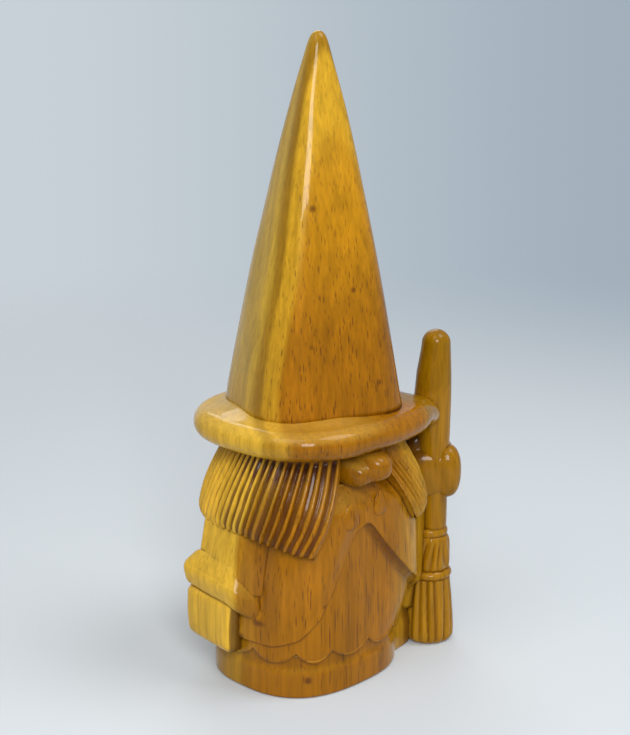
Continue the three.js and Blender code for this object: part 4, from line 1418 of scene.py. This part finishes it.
def place_camera(scene):
    """The eye of the photo, which looks down a little."""
    eye = bpy.data.cameras.new("photo_eye")
    eye.sensor_fit = "AUTO"
    eye.sensor_width = 36.0
    eye.lens = 73.47
    holder = bpy.data.objects.new("photo_eye", eye)
    holder.location = (-0.3167, -0.3211, 0.212)
    holder.rotation_euler = (math.radians(90 - 14.2), 0, math.radians(-45))
    scene.collection.objects.link(holder)
    scene.camera = holder


# Operators.
class GNOME_OT_base(bpy.types.Operator):
    """Carves the block under the feet"""
    bl_idname = "gnome.base"
    bl_label = "Base block"

    def execute(self, context):
        carve_base(context.scene.gnome_carving)
        return {"FINISHED"}


class GNOME_OT_tunic(bpy.types.Operator):
    """Carves the tunic with its scalloped hem"""
    bl_idname = "gnome.tunic"
    bl_label = "Tunic"

    def execute(self, context):
        carve_tunic(context.scene.gnome_carving)
        return {"FINISHED"}


class GNOME_OT_cloak(bpy.types.Operator):
    """Carves the cloak, open in front below the throat"""
    bl_idname = "gnome.cloak"
    bl_label = "Cloak"

    def execute(self, context):
        carve_cloak(context.scene.gnome_carving)
        return {"FINISHED"}


class GNOME_OT_ties(bpy.types.Operator):
    """Carves the two drops of the cloak tie"""
    bl_idname = "gnome.ties"
    bl_label = "Cloak ties"

    def execute(self, context):
        carve_tie(context.scene.gnome_carving, "right", -0.0008)
        carve_tie(context.scene.gnome_carving, "left", 0.0008)
        return {"FINISHED"}


class GNOME_OT_head(bpy.types.Operator):
    """Carves the head under the hat and behind the nose"""
    bl_idname = "gnome.head"
    bl_label = "Head"

    def execute(self, context):
        carve_head(context.scene.gnome_carving)
        return {"FINISHED"}


class GNOME_OT_nose(bpy.types.Operator):
    """Carves the nose under the brim"""
    bl_idname = "gnome.nose"
    bl_label = "Nose"

    def execute(self, context):
        carve_nose()
        return {"FINISHED"}


class GNOME_OT_hair(bpy.types.Operator):
    """Carves the three parts of the hair with their strands"""
    bl_idname = "gnome.hair"
    bl_label = "Hair"

    def execute(self, context):
        depth = context.scene.gnome_carving.strand_depth
        carve_lock(depth, "right", "hair_right_lock", 24)
        carve_lock(depth, "left", "hair_left_lock", 22)
        carve_lock(depth, "back", "hair_back", 13)
        return {"FINISHED"}


class GNOME_OT_brim(bpy.types.Operator):
    """Carves the rolled brim of the hat, which reaches the broom stick"""
    bl_idname = "gnome.brim"
    bl_label = "Hat brim"

    def execute(self, context):
        carve_brim(context.scene.gnome_carving)
        return {"FINISHED"}


class GNOME_OT_crown(bpy.types.Operator):
    """Carves the tall pointed crown of the hat"""
    bl_idname = "gnome.crown"
    bl_label = "Hat crown"

    def execute(self, context):
        carve_crown(context.scene.gnome_carving)
        return {"FINISHED"}


class GNOME_OT_right_arm(bpy.types.Operator):
    """Carves the hanging arm: sleeve, cuff and hand"""
    bl_idname = "gnome.right_arm"
    bl_label = "Right arm"

    def execute(self, context):
        sizes = context.scene.gnome_carving
        carve_right_sleeve(sizes)
        carve_right_cuff(sizes)
        carve_right_hand(sizes)
        return {"FINISHED"}


class GNOME_OT_left_arm(bpy.types.Operator):
    """Carves the arm that holds the broom: sleeve, cuff and fist"""
    bl_idname = "gnome.left_arm"
    bl_label = "Left arm"

    def execute(self, context):
        sizes = context.scene.gnome_carving
        carve_left_sleeve(sizes)
        carve_left_cuff(sizes)
        carve_fist()
        return {"FINISHED"}


class GNOME_OT_stick(bpy.types.Operator):
    """Carves the stick of the broom"""
    bl_idname = "gnome.stick"
    bl_label = "Broom stick"

    def execute(self, context):
        carve_stick(context.scene.gnome_carving)
        return {"FINISHED"}


class GNOME_OT_broom_head(bpy.types.Operator):
    """Carves the collar, the bound head and the band of the broom"""
    bl_idname = "gnome.broom_head"
    bl_label = "Broom head"

    def execute(self, context):
        sizes = context.scene.gnome_carving
        carve_ring(sizes, "broom_collar", "carved_collar", -0.0003)
        carve_ring(sizes, "broom_band", "carved_band", 0.0004)
        carve_broom_head(sizes)
        return {"FINISHED"}


class GNOME_OT_bristles(bpy.types.Operator):
    """Carves the bristles of the broom"""
    bl_idname = "gnome.bristles"
    bl_label = "Bristles"

    def execute(self, context):
        carve_bristles(context.scene.gnome_carving)
        return {"FINISHED"}


class GNOME_OT_stain_and_shade(bpy.types.Operator):
    """Finds the lines where the pieces meet, and paints stain and shade along them"""
    bl_idname = "gnome.stain"
    bl_label = "Stain in the lines"

    def execute(self, context):
        stain_and_shade_lines(context.scene, context.scene.gnome_carving.stain_and_shade_reach)
        return {"FINISHED"}


class GNOME_OT_stage(bpy.types.Operator):
    """Sets up the floor, the light and the camera"""
    bl_idname = "gnome.stage"
    bl_label = "Stage"

    def execute(self, context):
        look = context.scene.gnome_stage
        lay_floor(look)
        light_world(context.scene, look)
        hang_lamps(context.scene, look)
        place_camera(context.scene)
        context.scene.view_settings.view_transform = "Standard"
        return {"FINISHED"}


PIECE_OPERATORS = (
    GNOME_OT_base, GNOME_OT_tunic, GNOME_OT_cloak, GNOME_OT_ties, GNOME_OT_head, GNOME_OT_nose,
    GNOME_OT_hair, GNOME_OT_brim, GNOME_OT_crown, GNOME_OT_right_arm, GNOME_OT_left_arm,
    GNOME_OT_stick, GNOME_OT_broom_head, GNOME_OT_bristles, GNOME_OT_stain_and_shade, GNOME_OT_stage,
)


class GNOME_PT_panel(bpy.types.Panel):
    bl_idname = "GNOME_PT_panel"
    bl_label = "Carved gnome"
    bl_space_type = "VIEW_3D"
    bl_region_type = "UI"
    bl_category = "Gnome"

    def draw(self, context):
        for group in (context.scene.gnome_carving, context.scene.gnome_wood, context.scene.gnome_stage):
            for name in group.bl_rna.properties.keys():
                if name not in ("rna_type", "name"):
                    self.layout.prop(group, name)
        for operator in PIECE_OPERATORS:
            self.layout.operator(operator.bl_idname)


CLASSES = (CarvingSizes, WoodTones, StageLook, *PIECE_OPERATORS, GNOME_PT_panel)


def register():
    for cls in CLASSES:
        bpy.utils.register_class(cls)
    bpy.types.Scene.gnome_carving = bpy.props.PointerProperty(type=CarvingSizes)
    bpy.types.Scene.gnome_wood = bpy.props.PointerProperty(type=WoodTones)
    bpy.types.Scene.gnome_stage = bpy.props.PointerProperty(type=StageLook)


def unregister():
    del bpy.types.Scene.gnome_carving
    del bpy.types.Scene.gnome_wood
    del bpy.types.Scene.gnome_stage
    for cls in reversed(CLASSES):
        bpy.utils.unregister_class(cls)


def main():
    register()
    bpy.ops.gnome.base()
    bpy.ops.gnome.tunic()
    bpy.ops.gnome.cloak()
    bpy.ops.gnome.ties()
    bpy.ops.gnome.head()
    bpy.ops.gnome.nose()
    bpy.ops.gnome.hair()
    bpy.ops.gnome.brim()
    bpy.ops.gnome.crown()
    bpy.ops.gnome.right_arm()
    bpy.ops.gnome.left_arm()
    bpy.ops.gnome.stick()
    bpy.ops.gnome.broom_head()
    bpy.ops.gnome.bristles()
    bpy.ops.gnome.stain()
    bpy.ops.gnome.stage()


if __name__ == "__main__":
    main()
